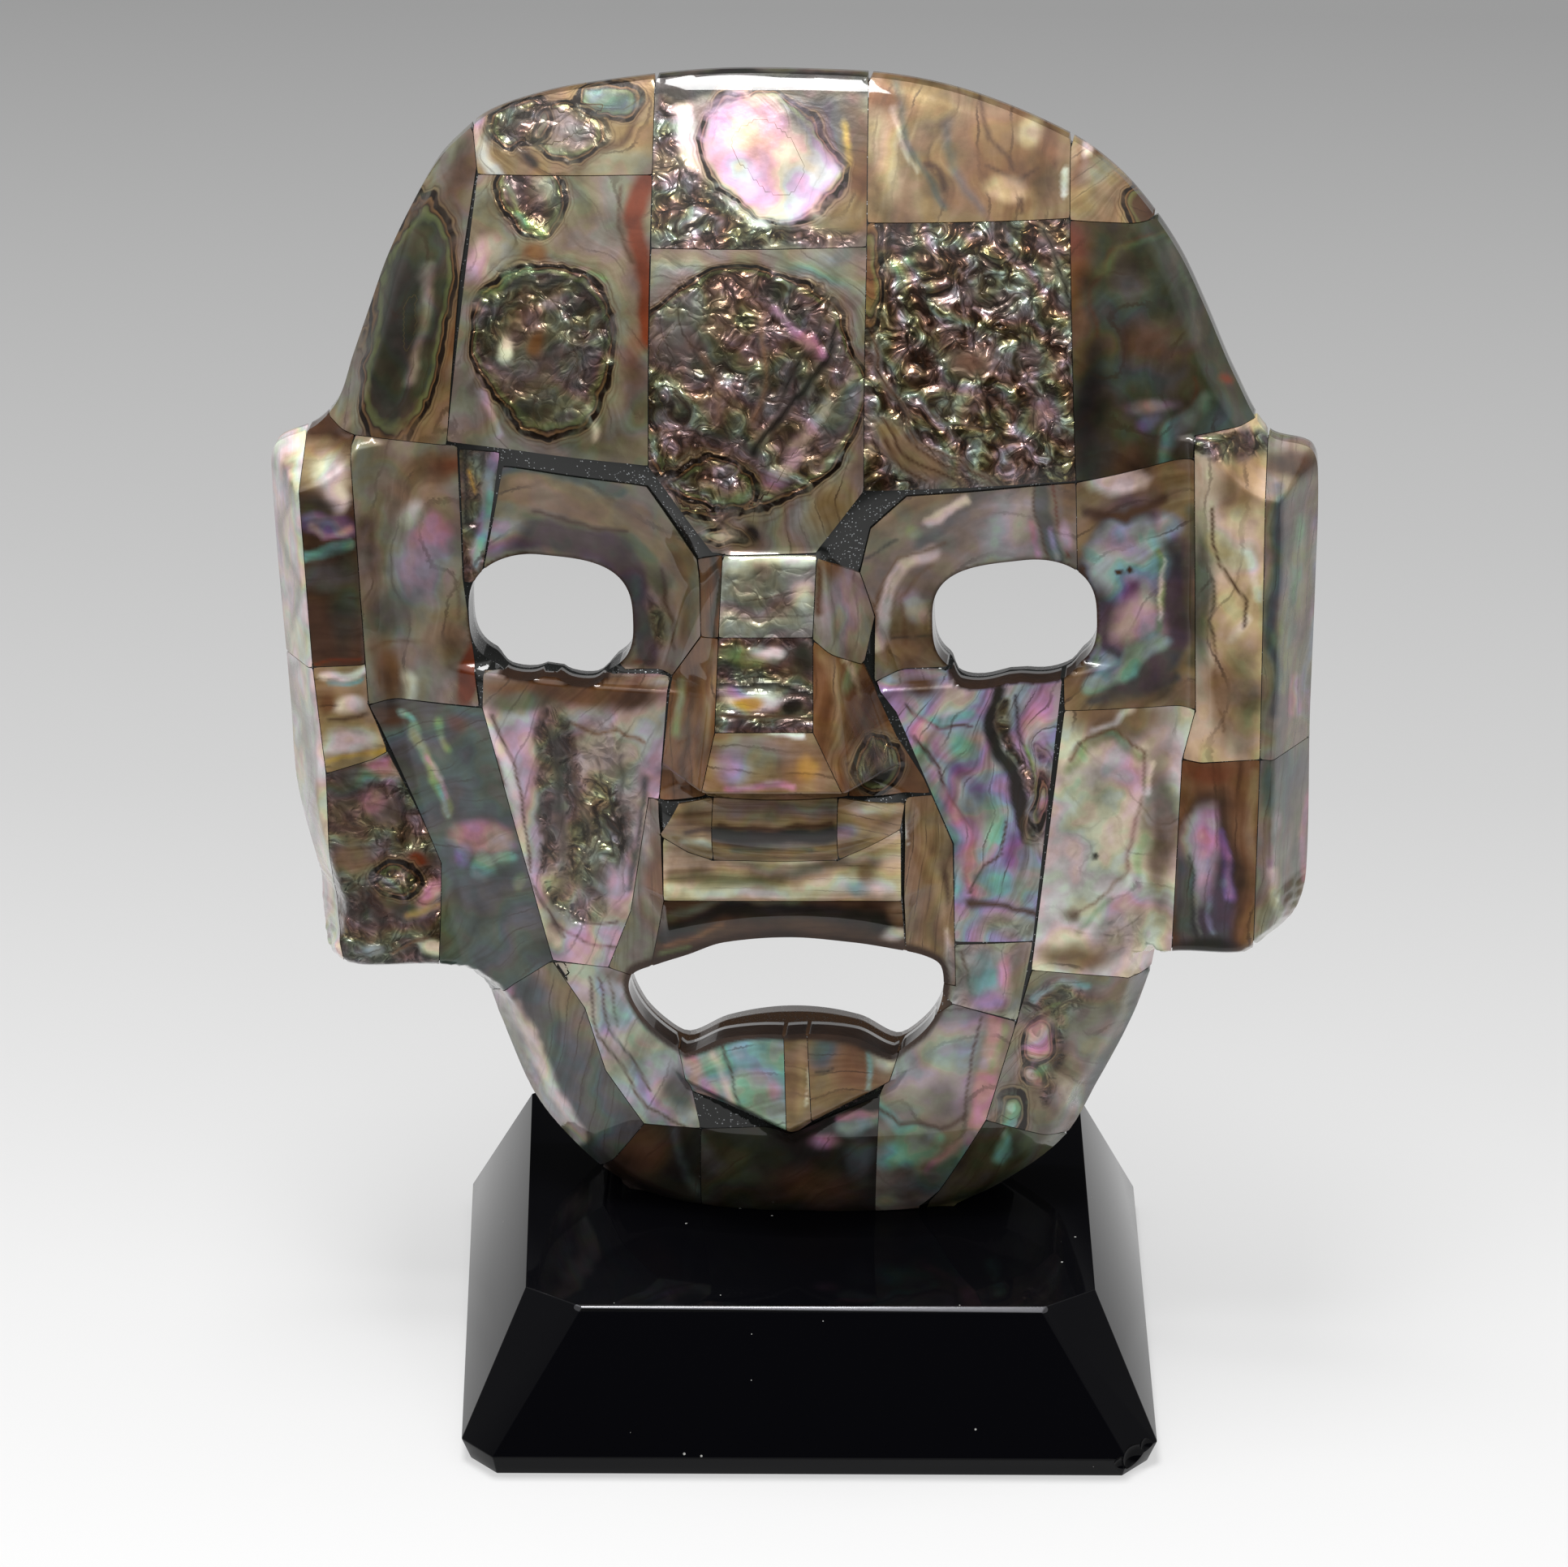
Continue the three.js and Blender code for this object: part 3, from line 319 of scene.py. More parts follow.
def soft_min(a, b, blend):
    share = np.clip(0.5 + 0.5 * (b - a) / blend, 0, 1)
    return b + (a - b) * share - blend * share * (1 - share)


def soft_max(a, b, blend):
    return -soft_min(-a, -b, blend)


def blank(x, y):
    crown = CROWN["fall"] * above(1 - (x / CROWN["half"]) ** 2)
    dome = (BLANK["dome"] + crown) * above(y - BLANK["level"]) ** 2
    cheek = BLANK["cheek"] * above(BLANK["level"] - y) ** 2
    chin = BLANK["chin"] * above(BLANK["chin_level"] - y) ** 2
    return BLANK["top"] - dome - cheek - chin - BLANK["side"] * x**2


def socket(x, y):
    brow = np.mean([np.interp(x + side, BROW_X, BROW_Y) for side in BROW_SPREAD], axis=0)
    fall = soft_max(SOCKET["slope"] * (brow - y), 0, SOCKET_ROUNDING["brow"])
    fall = above(soft_min(fall, SOCKET["depth"], SOCKET_ROUNDING["depth"]) - SOCKET_ROUNDING["sink"])
    sides = eased(ramp(np.abs(x), SOCKET["inner"], SOCKET["outer"], 1, 0))
    floor, step = SOCKET["floor"], SOCKET["step"]
    return fall * sides * eased(ramp(y, floor - step, floor + step))


def ear(x, y):
    inner = ramp(y, EAR["bottom"], EAR["waist"], EAR["low_inner"], EAR["inner"])
    block = EAR["height"] - EAR["slope"] * above(inner - x)
    return np.where((y < EAR["top"]) & (x > EAR["low_inner"] - EAR["skirt"]), block, 0)


def nose(x, y):
    front = ramp(y, NOSE["tip"], NOSE["root"], NOSE["tip_height"], NOSE["root_height"])
    half = ramp(y, NOSE["tip"], NOSE["root"], NOSE["tip_half"], NOSE["root_half"])
    ends = NOSE_FALL["root"] * above(y - NOSE["root"]) + NOSE_FALL["tip"] * above(NOSE["tip"] - y)
    return front - ends - NOSE_FALL["side"] * soft_max(x - half, 0, NOSE_FALL["rounding"])


def wings(x, y):
    round_part = 1 - (x / WINGS["half"]) ** 2 - ((y - WINGS["level"]) / WINGS["reach"]) ** 2
    swelling = WINGS["base"] + WINGS["swell"] * np.sqrt(above(round_part))
    return np.where(round_part > 0, swelling, 0)


def upper_lip(x, y):
    lip = UPPER_LIP
    rise = y - lip["ridge"]
    face = np.where(rise > 0, lip["up"] * rise, -lip["down"] * rise)
    ends = lip["end"] * (above(y - WINGS["level"]) + above(lip["foot"] - y))
    return lip["height"] - face - lip["side"] * above(x - lip["half"]) - ends


def lower_lip(x, y):
    lip = LOWER_LIP
    ends = above(lip["point"] + lip["rise"] * x - y) + above(x - lip["half"]) + above(y - lip["top"])
    return lip["height"] - lip["tilt"] * x - lip["end"] * ends


def bevel(x, y):
    distance, down = looked_up(DISTANCE, x, y), looked_up(FACING_DOWN, x, y)
    underside = down * ramp(y, *JAW_TO_EAR, UNDERSIDE["jaw"], UNDERSIDE["ear"])
    edge = ramp(y, *JAW_TO_EAR, RIM["jaw_edge"], RIM["edge"]) + underside
    dome = ramp(y, *EAR_TO_DOME, RIM["ear_slope"], RIM["dome_slope"])
    return edge + ramp(y, *JAW_TO_EAR, RIM["jaw_slope"], dome) * above(distance)


JOIN_OF = {ear: 1.6, nose: 1.6, wings: 1.3, upper_lip: 1.4, lower_lip: 1.2}


def relief(x, y):
    """Height of the finished face."""
    height = blank(x, y) - socket(x, y)
    for part, join in JOIN_OF.items():
        height = soft_max(height, part(np.abs(x), y), join)
    return soft_min(height, bevel(x, y), ramp(y, *RIM_JOIN))


print("tip of the nose, mm:", round(float(relief(np.array([0.0]), np.array([63.0]))[0]), 1))

# %% [markdown]
# Natural things need noise that gives the same result on every run. This one blends random values at
# the corners of a square lattice, and the layered form adds finer and fainter copies of it.

# %% Noise
HASH_X, HASH_Y, HASH_SEED, HASH_MIX = 374761393, 668265263, 974634777, 1274126177
WORD = 0xFFFFFFFF
LAYERS, LAYER_SEED = 3, 7


def lattice(ix, iy, seed):
    h = ix.astype(np.int64) * HASH_X + iy.astype(np.int64) * HASH_Y + seed * HASH_SEED
    h &= WORD
    h = ((h ^ (h >> 13)) * HASH_MIX) & WORD
    return (h ^ (h >> 16)) / (WORD // 2) - 1.0


def noise(x, y, seed):
    ix, iy = np.floor(x), np.floor(y)
    return blended(lambda dx, dy: lattice(ix + dx, iy + dy, seed), eased(x - ix), eased(y - iy))


def layered_noise(x, y, seed):
    return sum(noise(x * 2**k, y * 2**k, seed + LAYER_SEED * k) / 2**k for k in range(LAYERS))


print("noise at one place:", round(float(noise(np.array([0.3]), np.array([0.7]), 1)[0]), 3))

# %% [markdown]
# Each piece of shell gets its outline from its own solid: the line where the solid's front meets its
# sawn sides. Half a millimetre of room between solids closes to a hairline here, because real pieces
# butt together. Where the line lies on the mask's edge or on an opening, it follows the smooth curve.

# %% Outlines of the pieces
SEAM = 0.05
SOLID_HALF_SEAM = 0.25
NEAR = 0.2
EDGE_REACH = 0.9
SEATED = dict(level=0.5, lowered=1.2)
CHIN_FLAT = dict(top=6, half=22)
STEP = 0.38
SHORTEST = 0.3
TINY_FACE, FRONT_TILT = 1e-5, 0.04
TINY = 1e-6
PLACE_DECIMALS = 2


def solid_front(node):
    """Outline of a solid's front, as closed lines in the mask's plane."""
    mesh = frame["nodes"][node].data
    mesh.calc_loop_triangles()
    corners = np.empty(len(mesh.loop_triangles) * 3, int)
    mesh.loop_triangles.foreach_get("vertices", corners)
    points = to_mask(vertex_places(mesh))
    _, first, same = np.unique(
        np.round(points, PLACE_DECIMALS), axis=0, return_index=True, return_inverse=True
    )
    points, corners = points[first], same.ravel()[corners].reshape(-1, 3)
    a, b, c = (points[corners[:, k]] for k in range(3))
    normal = np.cross(b - a, c - a)
    size = np.linalg.norm(normal, axis=1)
    front = corners[(size > TINY_FACE) & (normal[:, 2] > FRONT_TILT * size)]
    following = {}
    sides = {(i, j) for i, j, k in front} | {(j, k) for i, j, k in front} | {(k, i) for i, j, k in front}
    for i, j in sides:
        if (j, i) not in sides:
            following.setdefault(i, []).append(j)
    loops = []
    while following:
        start = min(following)
        loop, here = [start], following[start].pop()
        while here != start and here in following:
            loop.append(here)
            here = following[here].pop()
        for i in loop:
            if i in following and not following[i]:
                del following[i]
        loops.append(points[loop])
    return loops


def area(loop):
    x, y = loop[:, 0], loop[:, 1]
    return 0.5 * float(np.sum(x * np.roll(y, -1) - np.roll(x, -1) * y))


def resampled(loop, step):
    line = []
    for a, b in zip(loop, np.roll(loop, -1, 0)):
        count = max(1, round(float(np.hypot(*(b - a)[:2])) / step))
        line.append(a + (b - a) * (np.arange(count) / count)[:, None])
    return np.vstack(line)


def outward(loop):
    run = np.roll(loop, -1, 0) - np.roll(loop, 1, 0)
    return np.column_stack([run[:, 1], -run[:, 0]]) / np.maximum(np.hypot(*run.T), TINY)[:, None]


def piece_outline(node):
    """Fine outline of a piece of shell, and for each of its points: at the edge, at an opening."""
    loop = max(solid_front(node), key=lambda line: abs(area(line)))
    if area(loop) < 0:
        loop = loop[::-1]
    seated = to_room(loop)[:, 2] < STAND_TOP + SEATED["level"]
    loop = loop[:, :2] + np.where(seated, -SEATED["lowered"], 0)[:, None] * np.array([0, 1])
    loop = resampled(loop, STEP)
    loop = loop[np.hypot(*(loop - np.roll(loop, 1, 0)).T) > SHORTEST * STEP]
    spot, gap, _ = nearest_on(EDGE, loop)
    at_edge = gap < EDGE_REACH
    at_edge &= ~((loop[:, 1] < CHIN_FLAT["top"]) & (np.abs(loop[:, 0]) < CHIN_FLAT["half"]))
    at_edge &= nearest_on(np.array(OUTLINE, float), loop)[1] < NEAR
    grown = loop + outward(loop) * (SOLID_HALF_SEAM - SEAM)
    grown[at_edge] = spot[at_edge]
    at_opening = np.zeros(len(loop), bool)
    for straight, line in zip((np.array(MOUTH, float), *OPENINGS[1:]), OPENINGS):
        close = nearest_on(straight, loop)[1] < NEAR
        grown[close] = nearest_on(line, loop)[0][close]
        at_opening |= close
    return grown, at_edge, at_opening


test_line, test_edge, _ = piece_outline("shell_temple_left")
print("points on the left temple's outline:", len(test_line), "at the edge:", test_edge.sum())

# %% [markdown]
# A piece is then a thick skin: a fine net of points over its front, at the height of the relief, side
# walls where it was sawn, and a plain underside sunk in the resin. Hand polishing leaves the front
# gently uneven, which a faint noise gives. That is what makes its reflections swim.

# %% Body of a piece
SHELL_DEPTH = 2.2
OPENING_DEPTH = 4.5
LOWEST_UNDER = 1.0
UNDER_STEP = 2.6
BACK_LEVEL = 0.02
BACK_RING = dict(inset=2.1, every=4, clear=0.8, gap=1.2, blur=0.1)
NET_CLEAR = 0.55
WALL_ROWS = 4
SEAT_GAP = 0.03
ON_PLANE = 1e-7
POLISH_WAVE = dict(size=9.0, height=0.09, seed=3)


def polished(x, y):
    size, height, seed = POLISH_WAVE.values()
    return relief(x, y) + height * noise(x / size, y / size, seed)


def within(loops, points):
    """Which points lie inside the first loop and outside the others."""
    return inside(loops[0], points) & ~np.any([inside(hole, points) for hole in loops[1:]], axis=0)


def net(loops, step):
    """Points within the loops, in a regular triangular net."""
    low, high = loops[0].min(0), loops[0].max(0)
    points = []
    for k, y in enumerate(np.arange(low[1], high[1], step * math.sqrt(0.75))):
        x = np.arange(low[0] + (k % 2) * step / 2, high[0], step)
        points.append(np.column_stack([x, np.full(len(x), y)]))
    points = np.vstack(points)
    points = points[within(loops, points)]
    for loop in loops:
        points = points[nearest_on(loop, points)[1] > NET_CLEAR * step]
    return points


def filled(loops, extra):
    """Points, triangles between the loops with the extra points inside, and where each point went."""
    points = np.vstack([*loops, extra])
    edges, start = [], 0
    for loop in loops:
        count = len(loop)
        edges += [(start + i, start + (i + 1) % count) for i in range(count)]
        start += count
    result = delaunay_2d_cdt([Vector(p) for p in points.tolist()], edges, [], 0, TINY)
    verts = np.array([tuple(v) for v in result[0]])
    tris = np.array([f for f in result[2]], int)
    place = np.full(len(points), -1)
    for new, old in enumerate(result[3]):
        place[old] = new
    return verts, tris[within(loops, verts[tris].mean(1))], place


def skin(name, loops, top_height, wall_foot, under_points, under_height, step):
    """Closed body of a fine top, side walls and a coarse underside, and how many faces the top has."""
    top, top_tris, top_place = filled(loops, net(loops, step))
    under, under_tris, under_place = filled(loops, under_points)
    top_z = top_height(top[:, 0], top[:, 1])
    under_z = under_height(under)
    points = [np.column_stack([top, top_z])]
    walls = []
    count, start = len(top) + len(under), 0
    for loop, foot in zip(loops, wall_foot):
        size = len(loop)
        first = top_place[start:start + size]
        last = under_place[start:start + size]
        under_z[last] = foot
        rings = [first]
        for row in range(1, WALL_ROWS):
            level = top_z[first] + (foot - top_z[first]) * (row / WALL_ROWS)
            points.append(np.column_stack([top[first], level]))
            rings.append(np.arange(count, count + size))
            count += size
        rings.append(last + len(top))
        for upper, lower in zip(rings, rings[1:]):
            walls += np.column_stack([upper, lower, np.roll(lower, -1), np.roll(upper, -1)]).tolist()
        start += size
    points.insert(1, np.column_stack([under, under_z]))
    mesh = bpy.data.meshes.new(name)
    faces = [*top_tris.tolist(), *(under_tris[:, ::-1] + len(top)).tolist(), *walls]
    mesh.from_pydata((to_room(np.vstack(points)) * MM).tolist(), [], faces)
    mesh.validate()
    mesh.update()
    return new_object(name, mesh), len(top_tris)


def cut_off(work, place, normal):
    """Takes away what lies beyond a plane, and closes the body again."""
    geometry = [*work.verts, *work.edges, *work.faces]
    cut = bmesh.ops.bisect_plane(
        work, geom=geometry, dist=ON_PLANE, plane_co=place, plane_no=normal, clear_outer=True
    )
    rim = [g for g in cut["geom_cut"] if isinstance(g, bmesh.types.BMEdge)]
    bmesh.ops.holes_fill(work, edges=rim, sides=0)


def finish_body(made, front_faces):
    """Smooth front with a crisp edge round it, cut level where the mask stands on the stone."""
    work = bmesh.new()
    work.from_mesh(made.data)
    work.faces.ensure_lookup_table()
    for index, face in enumerate(work.faces):
        face.smooth = True
        if index < front_faces:
            continue
        for side in face.edges:
            if any(other.index < front_faces for other in side.link_faces):
                side.smooth = False
    level = (STAND_TOP + SEAT_GAP) * MM
    if min(v.co.z for v in work.verts) < level:
        cut_off(work, (0, 0, level), (0, 0, -1))
    bmesh.ops.recalc_face_normals(work, faces=work.faces)
    work.to_mesh(made.data)
    work.free()


def shell_piece(node):
    loop, at_edge, at_opening = piece_outline(node)
    top = polished(loop[:, 0], loop[:, 1])
    depth = np.where(at_opening, OPENING_DEPTH, SHELL_DEPTH)
    foot = np.where(at_edge, BACK_LEVEL, np.maximum(top - depth, LOWEST_UNDER))
    inset = BACK_RING["inset"]
    ring = (loop[at_edge] - outward(loop)[at_edge] * inset)[::BACK_RING["every"]]
    under = net([loop], UNDER_STEP)
    if len(ring):
        ring = ring[inside(loop, ring)]
        ring = ring[nearest_on(loop, ring)[1] > BACK_RING["clear"]]
        under = under[looked_up(DISTANCE, under[:, 0], under[:, 1]) > inset + BACK_RING["gap"]]
        under = np.vstack([under, ring])

    def under_height(points):
        x, y = points[:, 0], points[:, 1]
        sunk = np.maximum(relief(x, y) - SHELL_DEPTH, LOWEST_UNDER)
        return np.where(looked_up(DISTANCE, x, y) < inset + BACK_RING["blur"], BACK_LEVEL, sunk)

    made, front = skin(node + "_polished", [loop], polished, [foot], under, under_height, STEP)
    finish_body(made, front)
    return made


SHELL_NODES = sorted(name for name in frame["nodes"] if name.startswith("shell_"))
shell = {node: shell_piece(node) for node in SHELL_NODES}
print("shell pieces:", len(shell), "triangles:", sum(len(o.data.polygons) for o in shell.values()))

# %% [markdown]
# The resin fills every seam almost flush with the shell, so it shows as dark hairlines and, where two
# pieces don't meet, as small black fields. It is one body, hollow behind, with the three openings
# through it. They are cut a hair wider than in the shell, so the two walls don't fight. Round the
# mouth a brown skin of shell shows through the resin, so how near the mouth is gets written down.

# %% Resin core
FLUSH = 0.05
OPENING_STEP_BACK = 0.05
CORE_STEP = 0.8
CORE_UNDER_STEP = 1.6
CORE_RIM = 0.9
CORE_EVERY = 2
HOLLOW = dict(wall=6.5, rim=8.0, slope=1.2, depth=16.0)
BROWN_REACH = 1.5


def resin_front(x, y):
    """Just under the shell, measured at the lowest place nearby, so that no ridge of it pokes out."""
    step = CORE_STEP / 2
    near = [(0, 0), (step, 0), (-step, 0), (0, step), (0, -step)]
    return np.min([polished(x + dx, y + dy) for dx, dy in near], axis=0) - FLUSH


def resin_back(points):
    x, y = points[:, 0], points[:, 1]
    follow = blank(x, y) - socket(x, y) - HOLLOW["wall"]
    edge = HOLLOW["slope"] * (looked_up(DISTANCE, x, y) - HOLLOW["rim"])
    return np.clip(np.minimum(np.minimum(follow, edge), HOLLOW["depth"]), 0, None)


def widened(loop, distance):
    return loop + outward(loop) * distance


core_edge = resampled(widened(EDGE[::CORE_EVERY], -CORE_RIM), CORE_STEP)
core_loops = [core_edge]
for opening in OPENINGS:
    core_loops.append(widened(resampled(opening[::CORE_EVERY], CORE_STEP), OPENING_STEP_BACK))
core_feet = [resin_back(loop) for loop in core_loops]
core_under = net(core_loops, CORE_UNDER_STEP)
core, core_front = skin("core_resin", core_loops, resin_front, core_feet, core_under, resin_back, CORE_STEP)
finish_body(core, core_front)
to_mouth = nearest_on(OPENINGS[0], to_mask(vertex_places(core.data))[:, :2])[1]
brown_skin = core.data.attributes.new("brown_skin", "FLOAT", "POINT")
brown_skin.data.foreach_set("value", np.exp(-to_mouth / BROWN_REACH))
print("resin triangles:", len(core.data.polygons))

# %% [markdown]
# The stand is one block of black volcanic glass, cut as a low pyramid with clipped corners and
# polished. Its top front edge was eased by hand and is wider at one end, where it catches the light.
# The near right foot has lost some small shell-shaped chips, as glass does.

# %% Stand
FOOT_HALF, FOOT_CLIP = (44.7, 37.6), (4.1, 4.6)
FOOT_BEVEL = dict(inset=1.2, height=3.1, clip=(3.4, 3.8))
TOP_HALF, TOP_CLIP = (36.5, 30.5), (7.3, 5.0)
STAND_TURN = math.radians(0.9)
EDGE_ROUNDING = 0.12
SHARP_FROM = math.radians(25)
FRONT_EASE = dict(start=(-33, 0.08), end=(33, 0.28))
CHIPS = [
    (42.2, -36.8, 2.6, 2.3), (40.2, -38.3, 2.2, 1.6), (43.8, -35.0, 3.6, 1.5), (38.2, -38.8, 3.0, 1.3),
    (41.6, -37.4, 4.8, 1.1),
]


def clipped(half, clip, z):
    """Ring of a rectangle with clipped corners."""
    corner = [(half[0], half[1] - clip[1]), (half[0] - clip[0], half[1])]
    turns = [(1, 1, corner), (-1, 1, corner[::-1]), (-1, -1, corner), (1, -1, corner[::-1])]
    return [(sx * x, sy * y, z) for sx, sy, pair in turns for x, y in pair]


def object_from(name, work):
    mesh = bpy.data.meshes.new(name)
    work.to_mesh(mesh)
    work.free()
    return new_object(name, mesh)


def stand_body():
    inset = FOOT_BEVEL["inset"]
    rings = [
        clipped((FOOT_HALF[0] - inset, FOOT_HALF[1] - inset), FOOT_BEVEL["clip"], 0.0),
        clipped(FOOT_HALF, FOOT_CLIP, FOOT_BEVEL["height"]),
        clipped(TOP_HALF, TOP_CLIP, STAND_TOP),
    ]
    work = bmesh.new()
    made = [[work.verts.new(Vector(p) * MM) for p in ring] for ring in rings]
    for low, high in zip(made, made[1:]):
        for i in range(len(low)):
            j = (i + 1) % len(low)
            work.faces.new((low[i], low[j], high[j], high[i]))
    work.faces.new(made[0][::-1])
    work.faces.new(made[-1])
    bmesh.ops.recalc_face_normals(work, faces=work.faces)
    slope = math.atan2(STAND_TOP - FOOT_BEVEL["height"], FOOT_HALF[1] - TOP_HALF[1])
    tilt = (math.pi - slope) / 2
    ease = Vector((0, -math.cos(tilt), math.sin(tilt)))
    edge = [(Vector((x, -TOP_HALF[1], STAND_TOP)), depth) for x, depth in FRONT_EASE.values()]
    first, last = (place - ease * depth for place, depth in edge)
    normal = (last - first).cross(Vector((0, math.sin(tilt), math.cos(tilt)))).normalized()
    cut_off(work, first * MM, normal if normal.dot(ease) > 0 else -normal)
    bmesh.ops.bevel(
        work, geom=list(work.edges), offset=EDGE_ROUNDING * MM, segments=3, profile=0.5, affect="EDGES"
    )
    return object_from("stand_polished", work)


def chip_cutter():
    work = bmesh.new()
    for x, y, z, radius in CHIPS:
        place = Matrix.Translation(Vector((x, y, z)) * MM)
        bmesh.ops.create_icosphere(work, subdivisions=3, radius=radius * MM, matrix=place)
    return object_from("chips", work)


stand = stand_body()
cutter = chip_cutter()
cut = stand.modifiers.new("chips", "BOOLEAN")
cut.object, cut.operation, cut.solver, cut.use_self = cutter, "DIFFERENCE", "EXACT", True
bpy.context.view_layer.update()
chipped = bpy.data.meshes.new_from_object(stand.evaluated_get(bpy.context.evaluated_depsgraph_get()))
stand.modifiers.clear()
stand.data = chipped
stand.data.transform(Matrix.Rotation(STAND_TURN, 4, "Z"))
bpy.data.objects.remove(cutter)
for face in stand.data.polygons:
    face.use_smooth = True
stand.data.set_sharp_from_angle(angle=SHARP_FROM)
print("stand faces:", len(stand.data.polygons))

# %% [markdown]
# A colour is written as it looks on a screen, in hex, and one function turns it into the linear
# light that a renderer works with. Another adds a shader node with its settings and its links. What
# comes out of a node can be added, multiplied and compared like a number, so a material reads as
# plain arithmetic.

# %% Colour and nodes


def linear(colour):
    """Linear red, green and blue of an sRGB hex colour. A number is a grey that is linear already."""
    if not isinstance(colour, str):
        return [colour] * 3
    parts = [int(colour[i:i + 2], 16) / 255 for i in (1, 3, 5)]
    return [c / 12.92 if c <= 0.04045 else ((c + 0.055) / 1.055) ** 2.4 for c in parts]


def add(tree, kind, inputs=None, output=0, **settings):
    """Adds a node and gives one of its outputs. An input is a number, a colour or another output."""
    node = tree.nodes.new("ShaderNode" + kind)
    for name, value in settings.items():
        setattr(node, name, value)
    for name, value in (inputs or {}).items():
        if isinstance(value, Signal):
            tree.links.new(value.socket, node.inputs[name])
        else:
            node.inputs[name].default_value = (*linear(value), 1.0) if isinstance(value, str) else value
    return Signal(node.outputs[output]) if len(node.outputs) else node


def operator(operation, swapped=False):
    """Method that adds the node for one operation on two numbers."""

    def work(one, other):
        pair = (other, one) if swapped else (one, other)
        return add(one.tree, "Math", dict(enumerate(pair)), operation=operation)

    return work


class Signal:
    """What comes out of a shader node. Arithmetic on it adds the nodes that work it out."""

    def __init__(self, socket):
        self.socket, self.tree = socket, socket.id_data

    def __getitem__(self, output):
        """Another output of the same node."""
        return Signal(self.socket.node.outputs[output])

    def maths(self, operation, other=0.0):
        return operator(operation)(self, other)

    def clamped(self):
        """The same result, kept between 0 and 1."""
        self.socket.node.use_clamp = True
        return self

    def past(self, start, gain):
        """Rises from 0 at the start to 1."""
        return ((self - start) * gain).clamped()

    def near_zero(self, sharpness):
        """1 at zero, and falls to 0."""
        return 1.0 - (self * sharpness).clamped()

    __add__ = operator("ADD")
    __sub__ = operator("SUBTRACT")
    __rsub__ = operator("SUBTRACT", swapped=True)
    __mul__ = operator("MULTIPLY")
    __truediv__ = operator("DIVIDE")
    __gt__ = operator("GREATER_THAN")
    __lt__ = operator("LESS_THAN")


def vector(operation, *values):
    return add(values[0].tree, "VectorMath", dict(enumerate(values)), operation=operation)


def new_material(name):
    material = bpy.data.materials.new(name)
    material.use_nodes = True
    material.node_tree.nodes.clear()
    return material, material.node_tree


def surface(tree, inputs):
    add(tree, "OutputMaterial", {"Surface": add(tree, "BsdfPrincipled", inputs)})


def colour_ramp(factor, stops, interpolation="LINEAR"):
    """Ramp of colours, each with its place and how much it covers what lies under it."""
    made = add(factor.tree, "ValToRGB", {"Fac": factor})
    table = made.socket.node.color_ramp
    table.interpolation = interpolation
    while len(table.elements) < len(stops):
        table.elements.new(0.5)
    for element, (place, colour, *cover) in zip(table.elements, stops):
        element.position = place
        element.color = (*linear(colour), *(cover or [1.0]))
    return made


def between(factor, a, b, blend="MIX"):
    tree = next(value.tree for value in (factor, a, b) if isinstance(value, Signal))
    return add(tree, "MixRGB", {"Fac": factor, "Color1": a, "Color2": b}, blend_type=blend)


def mapped(value, low, high, start=0.0, end=1.0, how="LINEAR"):
    """A value from low to high, turned into one from start to end."""
    inputs = {"Value": value, "From Min": low, "From Max": high, "To Min": start, "To Max": end}
    return add(value.tree, "MapRange", inputs, interpolation_type=how)


def clouds(place, size, detail, output="Fac"):
    """Soft noise whose clouds have a size in millimetres."""
    return add(place.tree, "TexNoise", {"Vector": place, "Scale": 1 / size, "Detail": detail}, output)


def cells(place, size, feature="F1"):
    """Distance in a pattern of cells that have a size in millimetres."""
    inputs = {"Vector": place, "Scale": 1 / size}
    return add(place.tree, "TexVoronoi", inputs, "Distance", feature=feature)


def millimetres(tree):
    """Place on the object in millimetres, so that a noise's scale is one over a real size."""
    return vector("MULTIPLY", add(tree, "TexCoord", output="Object"), (1 / MM,) * 3)


print("mid grey in linear light:", round(linear("#808080")[0], 3))

# %% [markdown]
# Abalone is nacre: thousands of clear plates, thin enough to split light into pink, green and blue,
# with brown skins of protein between the layers. Under the polish some of it is a calm mirror, some
# is cloudy horn, and where the animal walled off a borer it is crinkled like foil. Each of these
# looks is a colour with four amounts: mirror, crinkle, iridescence and growth lines.

